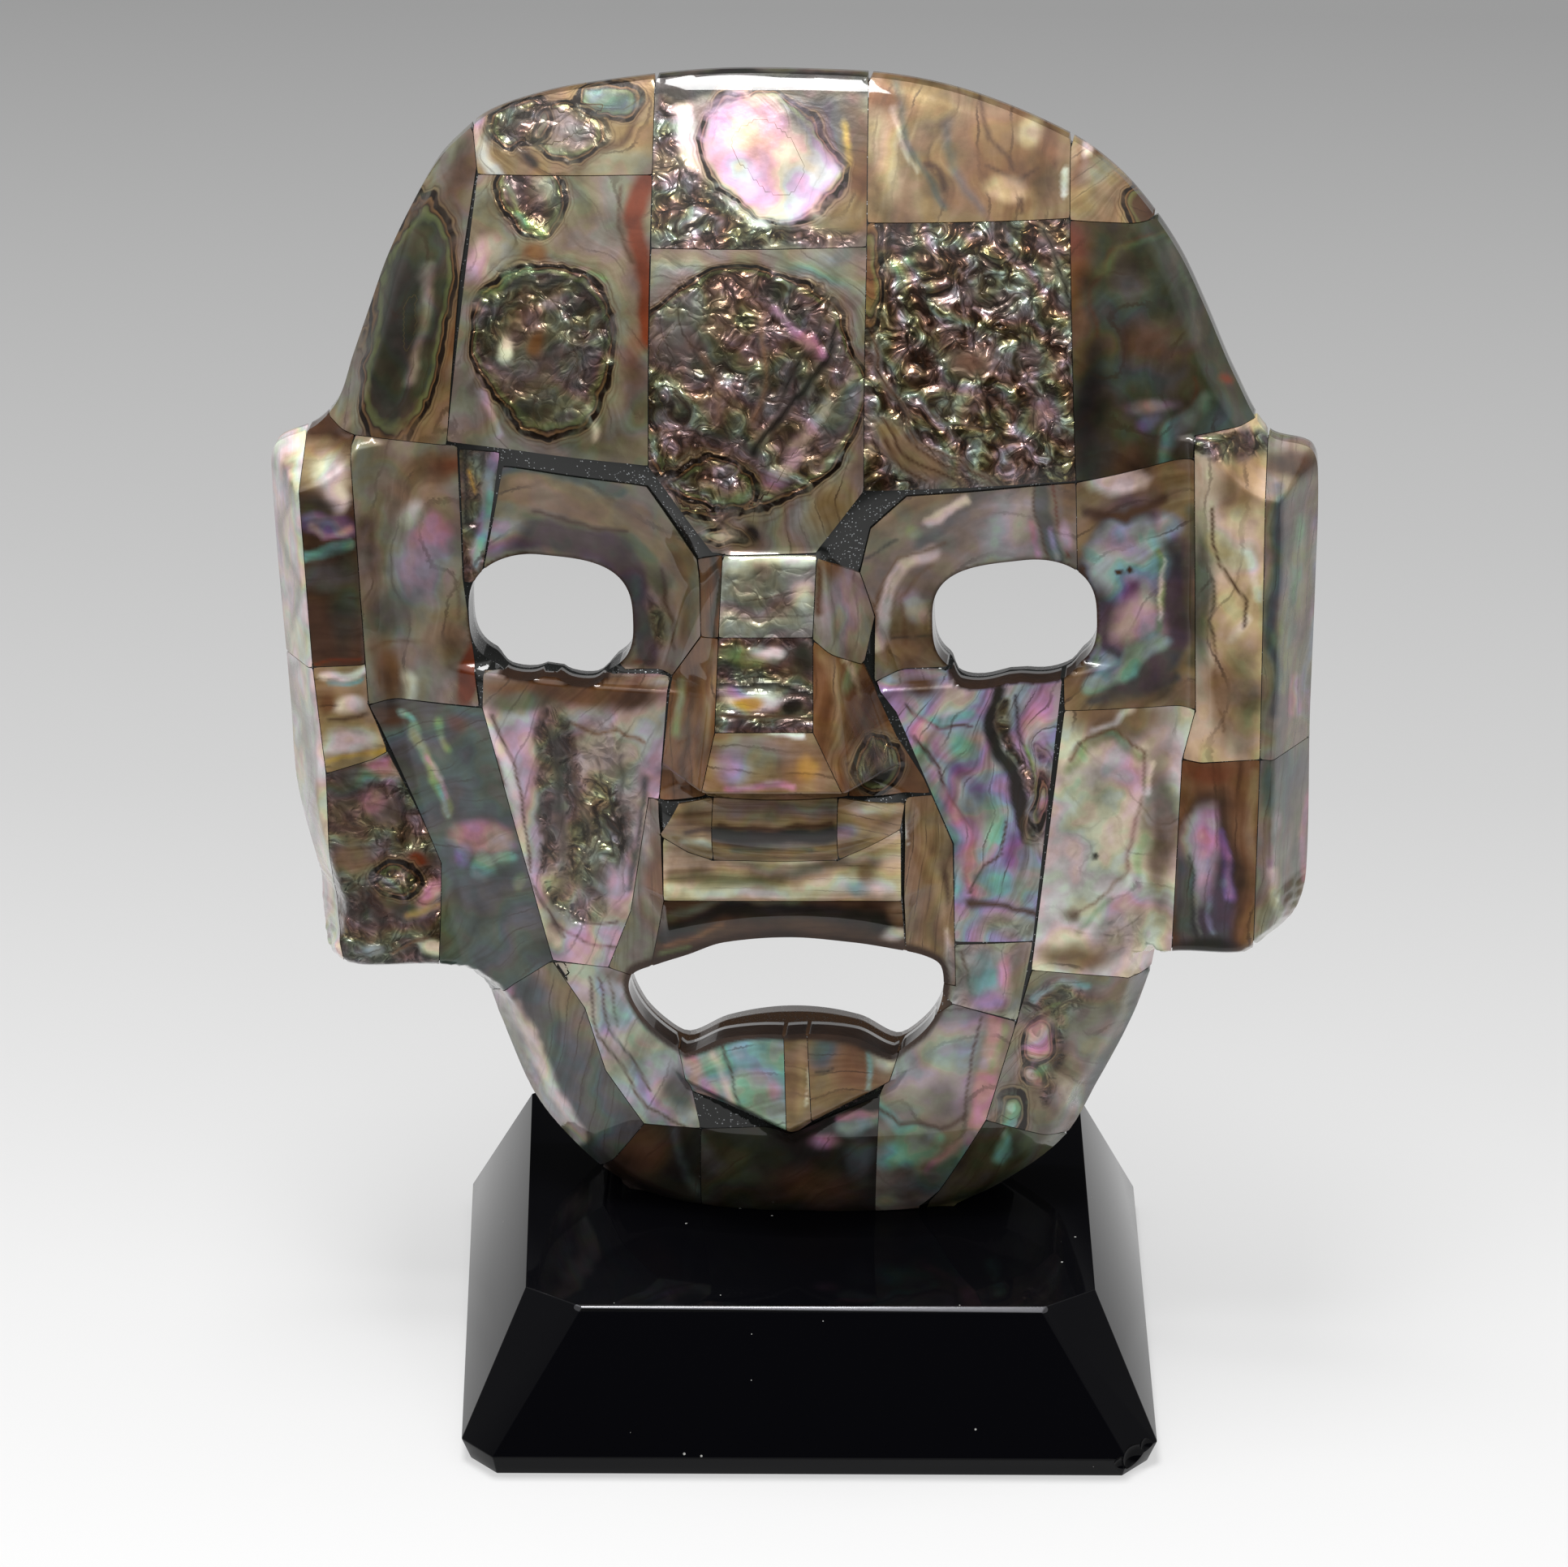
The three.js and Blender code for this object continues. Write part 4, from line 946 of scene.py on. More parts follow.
# %% Looks of the shell
LOOKS = {
    "milk": ("#efe7d8", 0.12, 0.0, 0.25, 0.1),
    "opal": ("#f2d2e0", 0.06, 0.0, 0.35, 0.0),
    "silver": ("#c4c0b6", 0.8, 0.2, 0.2, 0.2),
    "pewter": ("#857d71", 0.7, 0.25, 0.2, 0.3),
    "foil": ("#dcd5c6", 1.0, 1.0, 0.35, 0.3),
    "bright_foil": ("#f6efe6", 0.95, 0.85, 0.35, 0.15),
    "dark_foil": ("#a2988a", 0.85, 0.7, 0.35, 0.3),
    "horn": ("#927856", 0.25, 0.0, 0.1, 0.45),
    "sand": ("#a48b64", 0.2, 0.0, 0.1, 0.35),
    "cream": ("#d8c49c", 0.2, 0.0, 0.15, 0.3),
    "fog": ("#8d8372", 0.3, 0.0, 0.2, 0.3),
    "moss": ("#6b7158", 0.3, 0.0, 0.2, 0.3),
    "olive": ("#494836", 0.3, 0.0, 0.25, 0.3),
    "soot": ("#2d2a25", 0.3, 0.0, 0.2, 0.2),
    "bark": ("#533a29", 0.2, 0.0, 0.05, 0.3),
    "tobacco": ("#795536", 0.2, 0.0, 0.05, 0.4),
    "rust": ("#74371f", 0.2, 0.0, 0.0, 0.2),
    "rose": ("#db9dba", 0.3, 0.0, 0.3, 0.4),
    "lilac": ("#b0a4cd", 0.3, 0.0, 0.35, 0.4),
    "violet": ("#906db2", 0.3, 0.0, 0.3, 0.4),
    "sea": ("#89c6bd", 0.3, 0.0, 0.3, 0.4),
    "sky": ("#9cc0d8", 0.3, 0.0, 0.3, 0.3),
    "leaf": ("#8db274", 0.3, 0.0, 0.3, 0.4),
    "gold": ("#d6ab48", 0.5, 0.0, 0.1, 0.2),
    "slate": ("#5a6363", 0.35, 0.0, 0.25, 0.3),
    "pearl": ("#b9bab6", 0.3, 0.0, 0.3, 0.15),
    "blush": ("#cdb6bc", 0.3, 0.0, 0.3, 0.25),
    "plum": ("#574a54", 0.3, 0.0, 0.25, 0.2),
    "peat": ("#382314", 0.15, 0.0, 0.0, 0.2),
}
print("looks:", len(LOOKS))

# %% [markdown]
# A mark is a patch of one look on the ground of a piece, and is written as one line of words. An oval
# is its look, its middle, its half width and half height and how soft its edge is, and a vein is its
# look, its points with > between them, its width and its softness, all in pixels of the picture.
# After those, @ gives a turn in degrees and * how strongly the mark covers. The word rim gives it a
# rim, which is the brown protein skin seen edge on. Noise bends the marks' edges, so they look grown.

# %% Marks
WOBBLE = [(60, 11), (24, 3.5), (9, 1.2)]
WOBBLE_SEEDS = (11, 5)
PIECE_SEEDS = (17, 3)
FAR_FROM_RIM = 4.0
RIM_PULL = 2.0
RIM_REACH = 3.0
RING_HEIGHT = 1.25
GROWTH_WANDER = dict(size=130, seed=50)
SKIN_AT_OPENINGS = (1.05, 0.3, 0.3)
SKIN_PATCHES = dict(margin=3, size=34, amount=0.35, seed=91)
SKIN_FADE = (0.5, 0.15)
AMOUNTS = ("mirror", "crinkle", "iris", "lines", "growth", "skin_edge")


def numbers(text):
    return [float(part) for part in text.split(",")]


def marks_from(table):
    """Marks of a table, one from each line."""
    marks = []
    for line in table.strip().splitlines():
        look, places, size, soft, *extras = line.split()
        mark = dict(look=look, points=[numbers(place) for place in places.split(">")])
        mark.update(size=numbers(size), soft=float(soft), turn=0.0, rim="rim" in extras, strength=1.0)
        for extra in extras:
            if extra[0] == "@":
                mark["turn"] = math.radians(float(extra[1:]))
            elif extra[0] == "*":
                mark["strength"] = float(extra[1:])
        marks.append(mark)
    return marks


def reach_of(mark, u, v):
    """Signed distance from a mark's edge in pixels, negative inside, and how far its edge is soft."""
    points, size = mark["points"], mark["size"]
    if len(points) > 1:
        nearest = np.full(len(u), np.inf)
        for (au, av), (bu, bv) in zip(points, points[1:]):
            run = np.array([bu - au, bv - av])
            t = np.clip(((u - au) * run[0] + (v - av) * run[1]) / (run @ run), 0, 1)
            nearest = np.minimum(nearest, np.hypot(u - au - t * run[0], v - av - t * run[1]))
        return nearest - size[0] / 2, mark["soft"]
    c, s = math.cos(mark["turn"]), math.sin(mark["turn"])
    du, dv = u - points[0][0], v - points[0][1]
    ratio = np.hypot((c * du + s * dv) / size[0], (c * dv - s * du) / size[1])
    return (ratio - 1) * min(size), mark["soft"] * min(size)


def values_of(look):
    """A look's linear colour and four amounts, in a row."""
    colour, *amounts = LOOKS[look]
    return np.array([*linear(colour), *amounts])


def laid_over(values, look, weight):
    """Values of all points moved towards a look, each by its weight."""
    return values + weight[:, None] * (values_of(look) - values)


def skin_at_openings(places, u, v):
    """How much of a brown skin shows: all at the rim of an opening, none a reach away from it."""
    margin, size, amount, seed = SKIN_PATCHES.values()
    flat = to_mask(places)[:, :2]
    weight = np.zeros(len(flat))
    for loop, reach in zip(OPENINGS, SKIN_AT_OPENINGS):
        near = np.all((flat > loop.min(0) - margin) & (flat < loop.max(0) + margin), axis=1)
        gap = nearest_on(loop, flat[near])[1]
        wide = reach * (1 + amount * noise(u[near] / size, v[near] / size, seed))
        skin_here = 1 - eased(ramp(gap, SKIN_FADE[0] * wide, wide + SKIN_FADE[1]))
        weight[near] = np.maximum(weight[near], skin_here)
    return weight


def growth_at(u, v, flow, seed):
    """Count of growth lines, along straight lines or, where the flow has a middle, along rings."""
    turn, spacing, wave = flow
    if isinstance(turn, tuple):
        across = np.hypot(u - turn[0], RING_HEIGHT * (v - turn[1]))
    else:
        across = u * math.cos(math.radians(turn)) + v * math.sin(math.radians(turn))
    size = GROWTH_WANDER["size"]
    return across / spacing + wave * layered_noise(u / size, v / size, seed + GROWTH_WANDER["seed"])


def paint(piece, ground, flow, marks, seed):
    """Writes a piece's looks into its mesh: colour, four amounts, count of growth lines, nearest rim."""
    mesh = piece.data
    places = vertex_places(mesh)
    u, v = picture_place(places)
    wu, wv = u.copy(), v.copy()
    for k, (size, amount) in enumerate(WOBBLE):
        first = seed + WOBBLE_SEEDS[0] * k
        wu += amount * noise(u / size, v / size, first)
        wv += amount * noise(u / size, v / size, first + WOBBLE_SEEDS[1])
    growth = growth_at(u, v, flow, seed)
    values = np.tile(values_of(ground), (len(u), 1))
    skin_edge = np.full(len(u), FAR_FROM_RIM)
    for mark in marks:
        distance, soft = reach_of(mark, wu, wv)
        cover = 1 - eased(ramp(distance, -soft, soft))
        values = laid_over(values, mark["look"], mark["strength"] * cover)
        if mark["rim"]:
            distance = distance * MM_PER_PIXEL
            skin_edge = np.where(np.abs(distance) < np.abs(skin_edge), distance, skin_edge)
            growth += RIM_PULL * np.exp(-np.abs(distance) / RIM_REACH)
    values = laid_over(values, "peat", skin_at_openings(places, u, v))
    tint = mesh.attributes.new("tint", "FLOAT_COLOR", "POINT")
    tint.data.foreach_set("color", np.column_stack([values[:, :3], np.ones(len(u))]).ravel())
    amounts = [*values[:, 3:].T, growth, np.clip(skin_edge, -FAR_FROM_RIM, FAR_FROM_RIM)]
    for name, amount in zip(AMOUNTS, amounts):
        mesh.attributes.new(name, "FLOAT", "POINT").data.foreach_set("value", amount)


print("a mark:", marks_from("milk 40,20 12,8 .5 @30"))

# %% [markdown]
# The paint table follows the picture piece by piece. The first word is the ground. Flow is how the
# growth lines run: the direction across them in degrees, or the middle of the rings they make, then
# their spacing in pixels and how much they wander. The marks lie on the ground in order, later ones
# over earlier ones. A few grounds and marks are painted highlights, painted shade and painted
# reflections, as the notes over those pieces say.

# %% Paint of each piece
PAINT = {
    # Left temple: the fog line down the right side of the olive island is a painted highlight streak.
    "temple_left": ("fog", (15, 45, 1.2), """
tobacco 600,170>545,260>555,420>500,540 30 12
olive 500,400 46,165 .25 @12 rim
soot 488,400 32,80 .6 @12 *.7
fog 522,330>518,400>500,460 10 6
olive 560,240 30,70 .7 @30 *.6
horn 560,470>500,545 40 16
fog 445,470>430,540 10 5
"""),
    "crown_left": ("horn", (40, 40, 1.0), """
fog 760,205 50,20 .6
blush 598,150>606,212 22 5
soot 612,132>630,170>655,208 8 4
foil 640,152 34,30 .35 rim
pewter 700,165 50,42 .12 rim
silver 690,170 34,26 .7 *.6
slate 757,120 38,22 .2 @-8 rim
sea 745,112 18,10 .7 @-10 *.5
bark 800,120>760,175>715,210 8 5
"""),
    "brow_left": ("fog", (80, 80, 1.1), """
moss 720,250 60,40 .8 @20 *.5
rust 800,215>782,270>788,330>797,420 26 7
bark 768,230>764,280>775,330 5 4
rust 776,430 12,30 .7 *.6
dark_foil 645,240 46,42 .2 rim
silver 660,238 14,18 .6
leaf 612,225>630,268>665,278 8 4
tobacco 655,302 16,16 .5
blush 598,320 26,14 .7 @-25
dark_foil 667,425 84,106 .1 @-4 rim
pewter 660,455 44,50 .6
soot 620,345>650,350>700,345>735,380 10 5
leaf 605,350>640,330>700,328>740,352 6 4
rose 680,372 16,10 .6 @-20 *.8
rose 712,338 12,6 .6 @-20
milk 628,440 10,16 .5 @20
tobacco 668,425 10,18 .6
moss 745,530 60,40 .8 *.7
milk 722,495>727,530 8 6 *.8
blush 590,490>610,530 8 5
"""),
    "crown_middle": ("fog", (40, 70, 1.0), """
foil 850,260 80,56 .3 @30
foil 822,150 16,40 .4
tobacco 1058,190 16,80 .5
horn 1045,270 30,24 .6
milk 835,130>850,190>900,250>950,282 24 5
soot 822,180>860,235>910,275 5 3
opal 950,195 96,76 .12 @35 rim
plum 1008,142 60,38 .7 @20 *.95
gold 935,180 34,26 .9 @30 *.4
rose 885,150 20,30 .8 @20 *.5
rose 1000,215 26,34 .8 @20 *.35
gold 1046,150>1046,200>1025,240 5 4 *.7
foil 940,298 90,12 .5
soot 806,104>935,97>1072,106 28 6
"""),
    "brow_middle": ("fog", (130, 40, 0.8), """
silver 830,330 40,20 .7 @-20 *.4
sea 1005,345 30,40 .7 @45 *.45
blush 960,345 26,12 .8 @20 *.4
foil 915,480 142,150 .06 rim
dark_foil 930,480 110,110 .5 *.9
pewter 840,415 44,46 .6
soot 1030,400>990,480>930,560 14 6
soot 1005,400>960,500 6 4
tobacco 940,400>945,470>930,520 10 5 *.8
tobacco 870,440>885,520 8 5 *.7
rose 955,385>985,410>1000,440 10 5 *.9
slate 1035,500 22,60 .6 @15 *.7
blush 1010,500>985,560>960,600 16 7 *.8
silver 1040,560>1010,600>980,640 18 8 *.7
soot 800,590>850,575>900,590>930,580 7 4
foil 870,600 56,36 .5 @10 rim
leaf 915,625 26,16 .6 @20 *.6
rose 950,600 16,16 .6 *.7
horn 1020,630 30,30 .6 @30
soot 925,655 12,12 .4
milk 880,660 30,10 .5 @10 rim
"""),
    "brow_right": ("foil", (135, 18, 0.8), """
tobacco 1078,330 18,70 .3 @4 rim
dark_foil 1120,300 30,40 .6
leaf 1105,330>1125,325 16 6 *.8
bright_foil 1270,370 30,44 .6 @20
rose 1205,365 12,10 .7 *.5
bright_foil 1180,480 26,22 .6 @20
rust 1195,450 26,10 .7 *.8
bright_foil 1290,510 30,28 .6
rose 1285,500 14,12 .8 *.35
soot 1270,445 14,16 .8 *.5
bark 1075,400>1090,470>1140,540>1230,590 8 4
horn 1120,560 60,26 .4 @35
bark 1085,520>1125,570>1180,595 5 3
bark 1090,550>1110,580>1140,600 5 3
bark 1110,520>1160,570>1220,592 5 3
soot 1290,280>1315,340>1318,400 10 5
"""),
    "crown_right": ("horn", (18, 44, 1.0), """
tobacco 1235,195 70,56 .7 @-20 *.75
slate 1112,100>1120,170>1140,215>1165,262 9 5 *.8
milk 1105,110>1112,170>1130,215 5 4 *.5
cream 1090,190 16,40 .8 *.6
bark 1145,205>1160,215>1168,240 9 4
bark 1200,125>1215,170>1240,200 4 3
bark 1262,150>1290,170>1300,200 5 4
bark 1215,205>1250,215>1275,200 4 3
cream 1240,228 20,16 .5 *.8
cream 1262,160 18,14 .5 *.6
tobacco 1285,180 16,24 .6
slate 1165,150>1175,210>1215,262 8 6 *.6
bark 1255,235>1258,262 5 3
milk 1313,210>1316,235 8 3
tobacco 1069,106>1100,112 26 6
"""),
    "shoulder_right": ("sand", (60, 30, 0.8), """
tobacco 1332,205 14,26 .5
milk 1330,190 7,12 .5
fog 1350,215 20,14 .7
bark 1420,255 24,34 .4 @35 rim
"""),
    "temple_right": ("olive", (20, 70, 1.3), """
rust 1330,310 22,60 .7 *.7
tobacco 1325,400 16,70 .6 *.7
bark 1345,420>1352,350>1372,308>1410,292>1450,300 5 3
leaf 1362,330>1385,303>1430,298 6 6 *.25
slate 1385,370 26,34 .8 @10 *.6
tobacco 1415,420 44,24 .9 *.5
slate 1395,460 44,18 .8 *.6
moss 1440,310>1460,370>1480,420 10 7 *.7
soot 1340,500 20,70 .6
rose 1415,502 26,10 .8 @-6 *.5
violet 1420,525 18,12 .8 @-20 *.5
bark 1470,470>1468,500>1445,530>1428,590 5 3
sea 1480,500>1455,530>1440,580 12 8 *.5
slate 1495,530 40,24 .6 @-10
rust 1505,475 10,8 .6
dark_foil 1525,560 34,12 .5 @10
bark 1395,575 26,20 .6
"""),
    # Beside the left eye: the short milk line low on the left is a painted glint.
    "temple_eye_left": ("fog", (10, 60, 1.0), """
tobacco 540,570 40,20 .7 @-10
rust 550,575 26,10 .6 @-15 *.6
horn 500,600 40,30 .8
milk 497,628 12,14 .7 *.6
rose 522,655 24,22 .4 @10 *.6
leaf 508,640 8,12 .7 *.5
lilac 520,700 34,36 .8 *.45
slate 490,755 36,26 .5 @-30 *.8
bark 462,800>480,790>520,785>545,755 4 3 *.8
horn 540,780 30,34 .6 @-30
rust 575,830 17,44 .25 @6
tobacco 478,825 20,40 .6
milk 498,832>504,862 11 6 *.8
bark 560,620>572,700>560,760 4 3 *.6
"""),
    "lid_corner_left": ("dark_foil", (10, 30, 0.8), """
lilac 615,560>608,620>585,690 16 5
sea 613,620>595,660>586,700 9 3
soot 572,560>574,650 10 5
gold 580,590>590,615 6 3
"""),
    "lid_left": ("fog", ((680, 760), 60, 0.3), """
slate 622,578>700,584>760,608 18 5
moss 640,640>730,660>800,690>815,720 22 6
plum 612,662>680,660>745,675>782,715>793,760>798,815 34 6
blush 625,655 26,16 .7 @-20
lilac 612,670 18,12 .7 @-20 *.7
slate 788,720>792,770 12 6 *.8
horn 632,598>693,615>747,633>793,655>845,688 36 3 *.8
cream 640,592>690,606 12 8 *.3
bark 668,632>716,645>765,662 5 3
fog 760,625>800,650>835,672 10 6 *.7
dark_foil 812,768 9,30 .5 @-8
bark 818,700>830,760>838,805 5 3
horn 842,705>850,800 14 5 *.8
rust 782,822 8,5 .6 *.6
"""),
    "lid_right": ("fog", ((1235, 750), 60, 0.3), """
horn 1120,790 50,44 .6
horn 1056,650>1100,620>1180,600 26 8 *.8
slate 1222,606>1172,638>1128,666 14 6 *.7
milk 1190,621>1136,641 11 3
leaf 1118,655 9,8 .6
soot 1062,690>1080,672>1098,664 4 3
pearl 1237,655 34,34 .7 @20 *.9
silver 1245,612 20,22 .8 *.5
milk 1146,676>1118,692>1100,718>1088,755>1080,795 17 5 *.9
leaf 1110,705>1092,745 6 4 *.4
tobacco 1160,666>1105,688>1078,745>1068,805 4 3 *.9
blush 1128,742 14,16 .6 @20
tobacco 1150,690>1115,735>1108,790 4 3 *.7
soot 1095,782>1140,775 2 2 *.7
slate 1282,586>1280,630>1288,660>1300,692 20 4
lilac 1290,655>1300,690 7 3 *.8
bark 1270,588>1270,635>1287,690 4 2
rust 1297,588>1301,640>1316,690 4 2
rose 1262,646>1274,685 8 4 *.8
horn 1318,588>1320,635 20 5
blush 1314,660 8,18 .6
"""),
    # Beside the right eye: the milk oval at the top is a painted patch of glare.
    "temple_eye_right": ("horn", (60, 40, 0.7), """
plum 1395,745 72,135 .12
sky 1388,690 50,56 .25
blush 1375,668 20,16 .8 *.6
lilac 1440,652 14,16 .5
violet 1388,735 16,16 .5
blush 1405,770 26,34 .5 @15
leaf 1432,680>1436,730>1425,780 7 3 *.8
milk 1437,690>1430,760 4 2 *.8
sea 1425,790>1390,830>1345,845 22 6
lilac 1340,800>1365,825 20 7 *.8
leaf 1355,790>1348,815 8 5 *.6
bark 1372,708 5,4 .3
bark 1386,706 5,5 .3
milk 1382,592 36,18 .3
bark 1340,628>1390,632>1440,620 12 5
plum 1340,865>1400,868>1450,840 10 5
horn 1400,885 80,18 .6
bark 1336,700>1340,760>1332,800 12 5
olive 1468,640>1472,820 14 6 *.7
"""),
    "ear_left_top": ("bark", (88, 30, 0.5), """
sand 398,590 38,40 .4
milk 405,595 22,26 .6
milk 412,625 16,14 .5
olive 385,635 26,14 .7
violet 400,655 34,12 .5
rose 378,660>400,668>432,655 8 4
sea 375,692>400,685>428,672 8 4
slate 400,712 26,14 .7 *.6
olive 425,740 18,50 .7
rust 395,818>450,812 4 3
"""),
    "ear_left_middle": ("sand", (92, 40, 0.4), """
milk 400,828>450,822 12 4
sea 405,836>450,832 5 3
milk 432,868 22,14 .5
tobacco 405,865 12,20 .6
bark 410,895>455,885 5 4
milk 430,920 34,14 .5 @-10
gold 412,945>475,928 6 3
"""),
    "ear_left_low": ("dark_foil", (80, 20, 1.2), """
leaf 412,948>470,935 8 4
rose 468,955 22,14 .5 @20 *.8
sea 440,965 16,12 .6 *.7
soot 420,975 14,20 .9 *.7
soot 480,1000 18,12 .9 *.7
rose 455,990 14,10 .6 *.6
horn 435,1055 24,20 .6
foil 485,1080 26,22 .3 rim
rust 510,1055 14,10 .6
rose 525,1100 12,24 .5 @20
olive 495,1120 26,14 .6
gold 500,1130>540,1105 8 5 *.8
milk 535,1160 22,14 .35 @10
lilac 458,1175 12,8 .5
tobacco 480,1180>530,1145 5 3
"""),
    # Side faces of the left ear: the pale milk ground is partly the shell's colour and partly a painted
    # reflection of the pale room.
    "ear_left_side": ("milk", (0, 14, 0.8), """
lilac 345,600>355,800 6 5 *.5
fog 352,600>362,820 6 5 *.8
"""),
    "ear_left_side_low": ("milk", (5, 14, 0.8), """
fog 362,820>400,1150 12 8 *.8
rose 352,860>385,1060 4 4 *.6
"""),
    "ear_right_top": ("cream", (5, 50, 0.7), """
milk 1525,620 30,40 .8 *.4
sand 1530,590 34,34 .5
milk 1530,670>1545,730 10 4 *.9
milk 1535,760>1520,790 9 4 *.8
bark 1492,620>1505,700>1530,740>1532,770 4 2
bark 1492,720>1500,820>1506,900 4 2
moss 1480,740 14,90 .6
moss 1535,870 18,60 .7 *.8
horn 1510,850 20,60 .8
dark_foil 1505,548 74,16 .4 @6
"""),
    "ear_right_low": ("tobacco", (0, 30, 0.6), """
rust 1480,950 30,12 .7 *.6
bark 1492,1090 44,118 .12
plum 1490,1100 36,104 .15
blush 1485,1055 24,56 .35
rose 1498,1030 12,30 .6 @-5
slate 1464,1100 14,50 .5
silver 1480,1080>1484,1150 3 3 *.3
soot 1472,1060>1478,1160 4 3 *.8
violet 1515,1030>1522,1110 9 4
rose 1520,1060>1522,1110 4 3 *.6
lilac 1497,1070>1500,1150 5 4 *.6
soot 1490,1168 44,12 .5
horn 1548,960>1552,1150 12 5
"""),
    "ear_right_side": ("fog", (8, 16, 0.8), """
bark 1590,570 40,16 .5
slate 1575,600>1570,880 14 6
leaf 1600,640>1590,760>1580,850 14 6 *.8
rose 1600,830>1590,880 10 5 *.8
bark 1615,700>1605,780 5 5 *.7
lilac 1618,640>1612,900 6 4 *.6
"""),
    "ear_right_side_low": ("fog", (5, 16, 0.8), """
slate 1580,960 24,50 .6
lilac 1572,1000>1570,1080 8 5 *.6
milk 1570,1080>1575,1130 10 6 *.6
moss 1600,1000>1592,1110 12 6
rose 1608,980>1606,1080 6 4 *.8
silver 1580,1150 26,14 .6 @-30 *.6
"""),
    "cheek_left": ("slate", (70, 26, 1.2), """
bark 490,885 34,14 .6 @10
leaf 515,900>530,960>545,990 12 4
rose 525,930>540,975 6 3 *.8
sea 500,880>512,890 8 4
leaf 545,890>552,915 10 4 *.8
rust 568,888 14,8 .6 *.6
sea 530,960>545,995 5 3
rose 595,1025 40,22 .4 @10 *.8
violet 572,1050 12,16 .5
sea 600,1065 14,18 .4 *.9
sea 628,1055 12,8 .5 *.7
leaf 645,1088 8,10 .5 *.7
soot 560,1120 10,30 .6
moss 545,1140 20,40 .7
slate 620,1130 40,40 .8
"""),
    "cheek_left_in": ("blush", (25, 26, 1.0), """
tobacco 700,848 140,22 .5
moss 640,868 40,14 .6
milk 605,885>628,960>655,1080>685,1160 12 4 *.9
bark 615,885>640,970>665,1080>695,1150 3 2
bark 598,890>620,970 3 2
silver 752,960 38,84 .3 @-6
tobacco 706,886>740,900>762,892>790,912 4 3
dark_foil 694,965 32,96 .15 @-6
foil 712,1072 36,62 .15 @-16
foil 748,1010 24,62 .3 @-10
soot 684,905>694,960>688,1010>702,1060 11 5 *.8
bark 712,905>716,980>726,1050>722,1110 5 4 *.8
soot 770,930>765,1020>780,1060 5 4 *.8
soot 735,1040>748,1100 8 5 *.7
leaf 702,1078 20,18 .7 @20 *.5
rose 722,1100 16,14 .7 *.5
sea 742,1108 14,12 .7 *.4
bark 690,1110>720,1130>760,1140 3 2
bark 685,1130>720,1160>760,1170 3 2
rose 700,1140>740,1165 10 5 *.5
bark 780,860 24,12 .6
slate 795,960>775,1100 8 5
"""),
    "cheek_right_in": ("lilac", (30, 30, 1.6), """
bark 1130,848 30,14 .6
milk 1170,870 20,24 .6 @30 *.7
sea 1115,880>1160,890>1200,885 12 4
bark 1110,872>1150,895>1205,900 4 2
rose 1120,890>1170,930>1215,920 24 6
sea 1190,925 20,14 .6 @20
violet 1180,950>1215,990>1230,1010 16 6
sea 1130,920>1150,1000>1180,1100 18 7
bark 1118,900>1160,950>1180,1010>1195,1110 4 2
rose 1165,980>1190,1060>1200,1110 12 5
sea 1220,1020 18,30 .5
rose 1225,1040>1205,1080 10 4
bark 1240,1010>1235,1050>1212,1070>1195,1110 4 2
violet 1255,1050 16,30 .5 @10
sea 1240,1090 28,18 .6
soot 1225,850>1230,920>1250,980>1275,1030 18 4
foil 1238,870>1245,930>1262,970 12 4
soot 1252,860>1262,930>1270,990 5 3
rose 1280,890 18,44 .5 *.8
rose 1285,980 14,40 .5 rim
leaf 1265,930>1275,990>1290,1010 5 3
silver 1285,1030 14,20 .5
bark 1190,1122>1240,1116>1295,1128 8 4
silver 1240,1142 44,12 .6
"""),
    "cheek_right": ("milk", (110, 70, 1.3), """
horn 1370,885 70,30 .5
plum 1335,850>1360,868>1400,850 7 5 *.5
milk 1340,905>1395,875 7 3 *.8
leaf 1310,945>1335,925>1365,905>1400,940 12 5 *.8
tobacco 1310,935>1340,915>1366,898>1405,930>1408,980 4 3
sea 1335,960 30,20 .8 *.5
rose 1385,960 20,28 .7 @-20 *.6
silver 1335,1040 44,70 .8 @12 *.5
leaf 1412,970>1408,1040>1400,1090 12 5 *.6
rose 1398,1010>1390,1060>1410,1090 8 5 *.6
tobacco 1402,990>1392,1060>1350,1110>1310,1125 4 3 *.7
fog 1432,1020 20,100 .6 @-4
milk 1418,950>1412,985 9 3
bark 1312,1125 11,10 .6 *.8
blush 1390,1120 34,22 .6 @-20
leaf 1320,1150>1350,1125>1372,1105 8 5 *.6
silver 1385,1150 36,20 .6 @-20
horn 1320,1175 40,14 .6
soot 1348,1052 5,4 .5
"""),
    "jaw_left_in": ("pearl", (25, 30, 0.5), """
lilac 735,1200>748,1270>790,1340>850,1385 12 4 *.8
bark 724,1200>738,1275>780,1345>840,1390 3 2
bark 738,1200>752,1270>800,1340 3 2
bark 748,1195>764,1265 2 2
sea 790,1250 30,40 .8 @20 *.5
blush 790,1290>820,1340>850,1370 16 6 *.7
slate 838,1340 22,26 .6
fog 775,1195 36,10 .6
"""),
    "jaw_left": ("slate", (20, 22, 0.8), """
milk 640,1250>680,1330>715,1400 18 6 *.9
fog 615,1215>660,1330>700,1400 14 6
rose 625,1230 10,16 .6 @20 *.6
horn 680,1200>740,1300 30 12 *.7
slate 720,1310 30,50 .6 @-20
lilac 650,1300>690,1380 6 4 *.6
fog 690,1200 60,14 .7
"""),
    "jaw_right_in": ("silver", (15, 26, 1.0), """
bark 1192,1170>1200,1210>1220,1230 4 3
sea 1220,1195 20,28 .5 @10
rose 1240,1195 8,20 .5 *.8
fog 1258,1200 10,40 .5
lilac 1225,1232 26,14 .6 @10
"""),
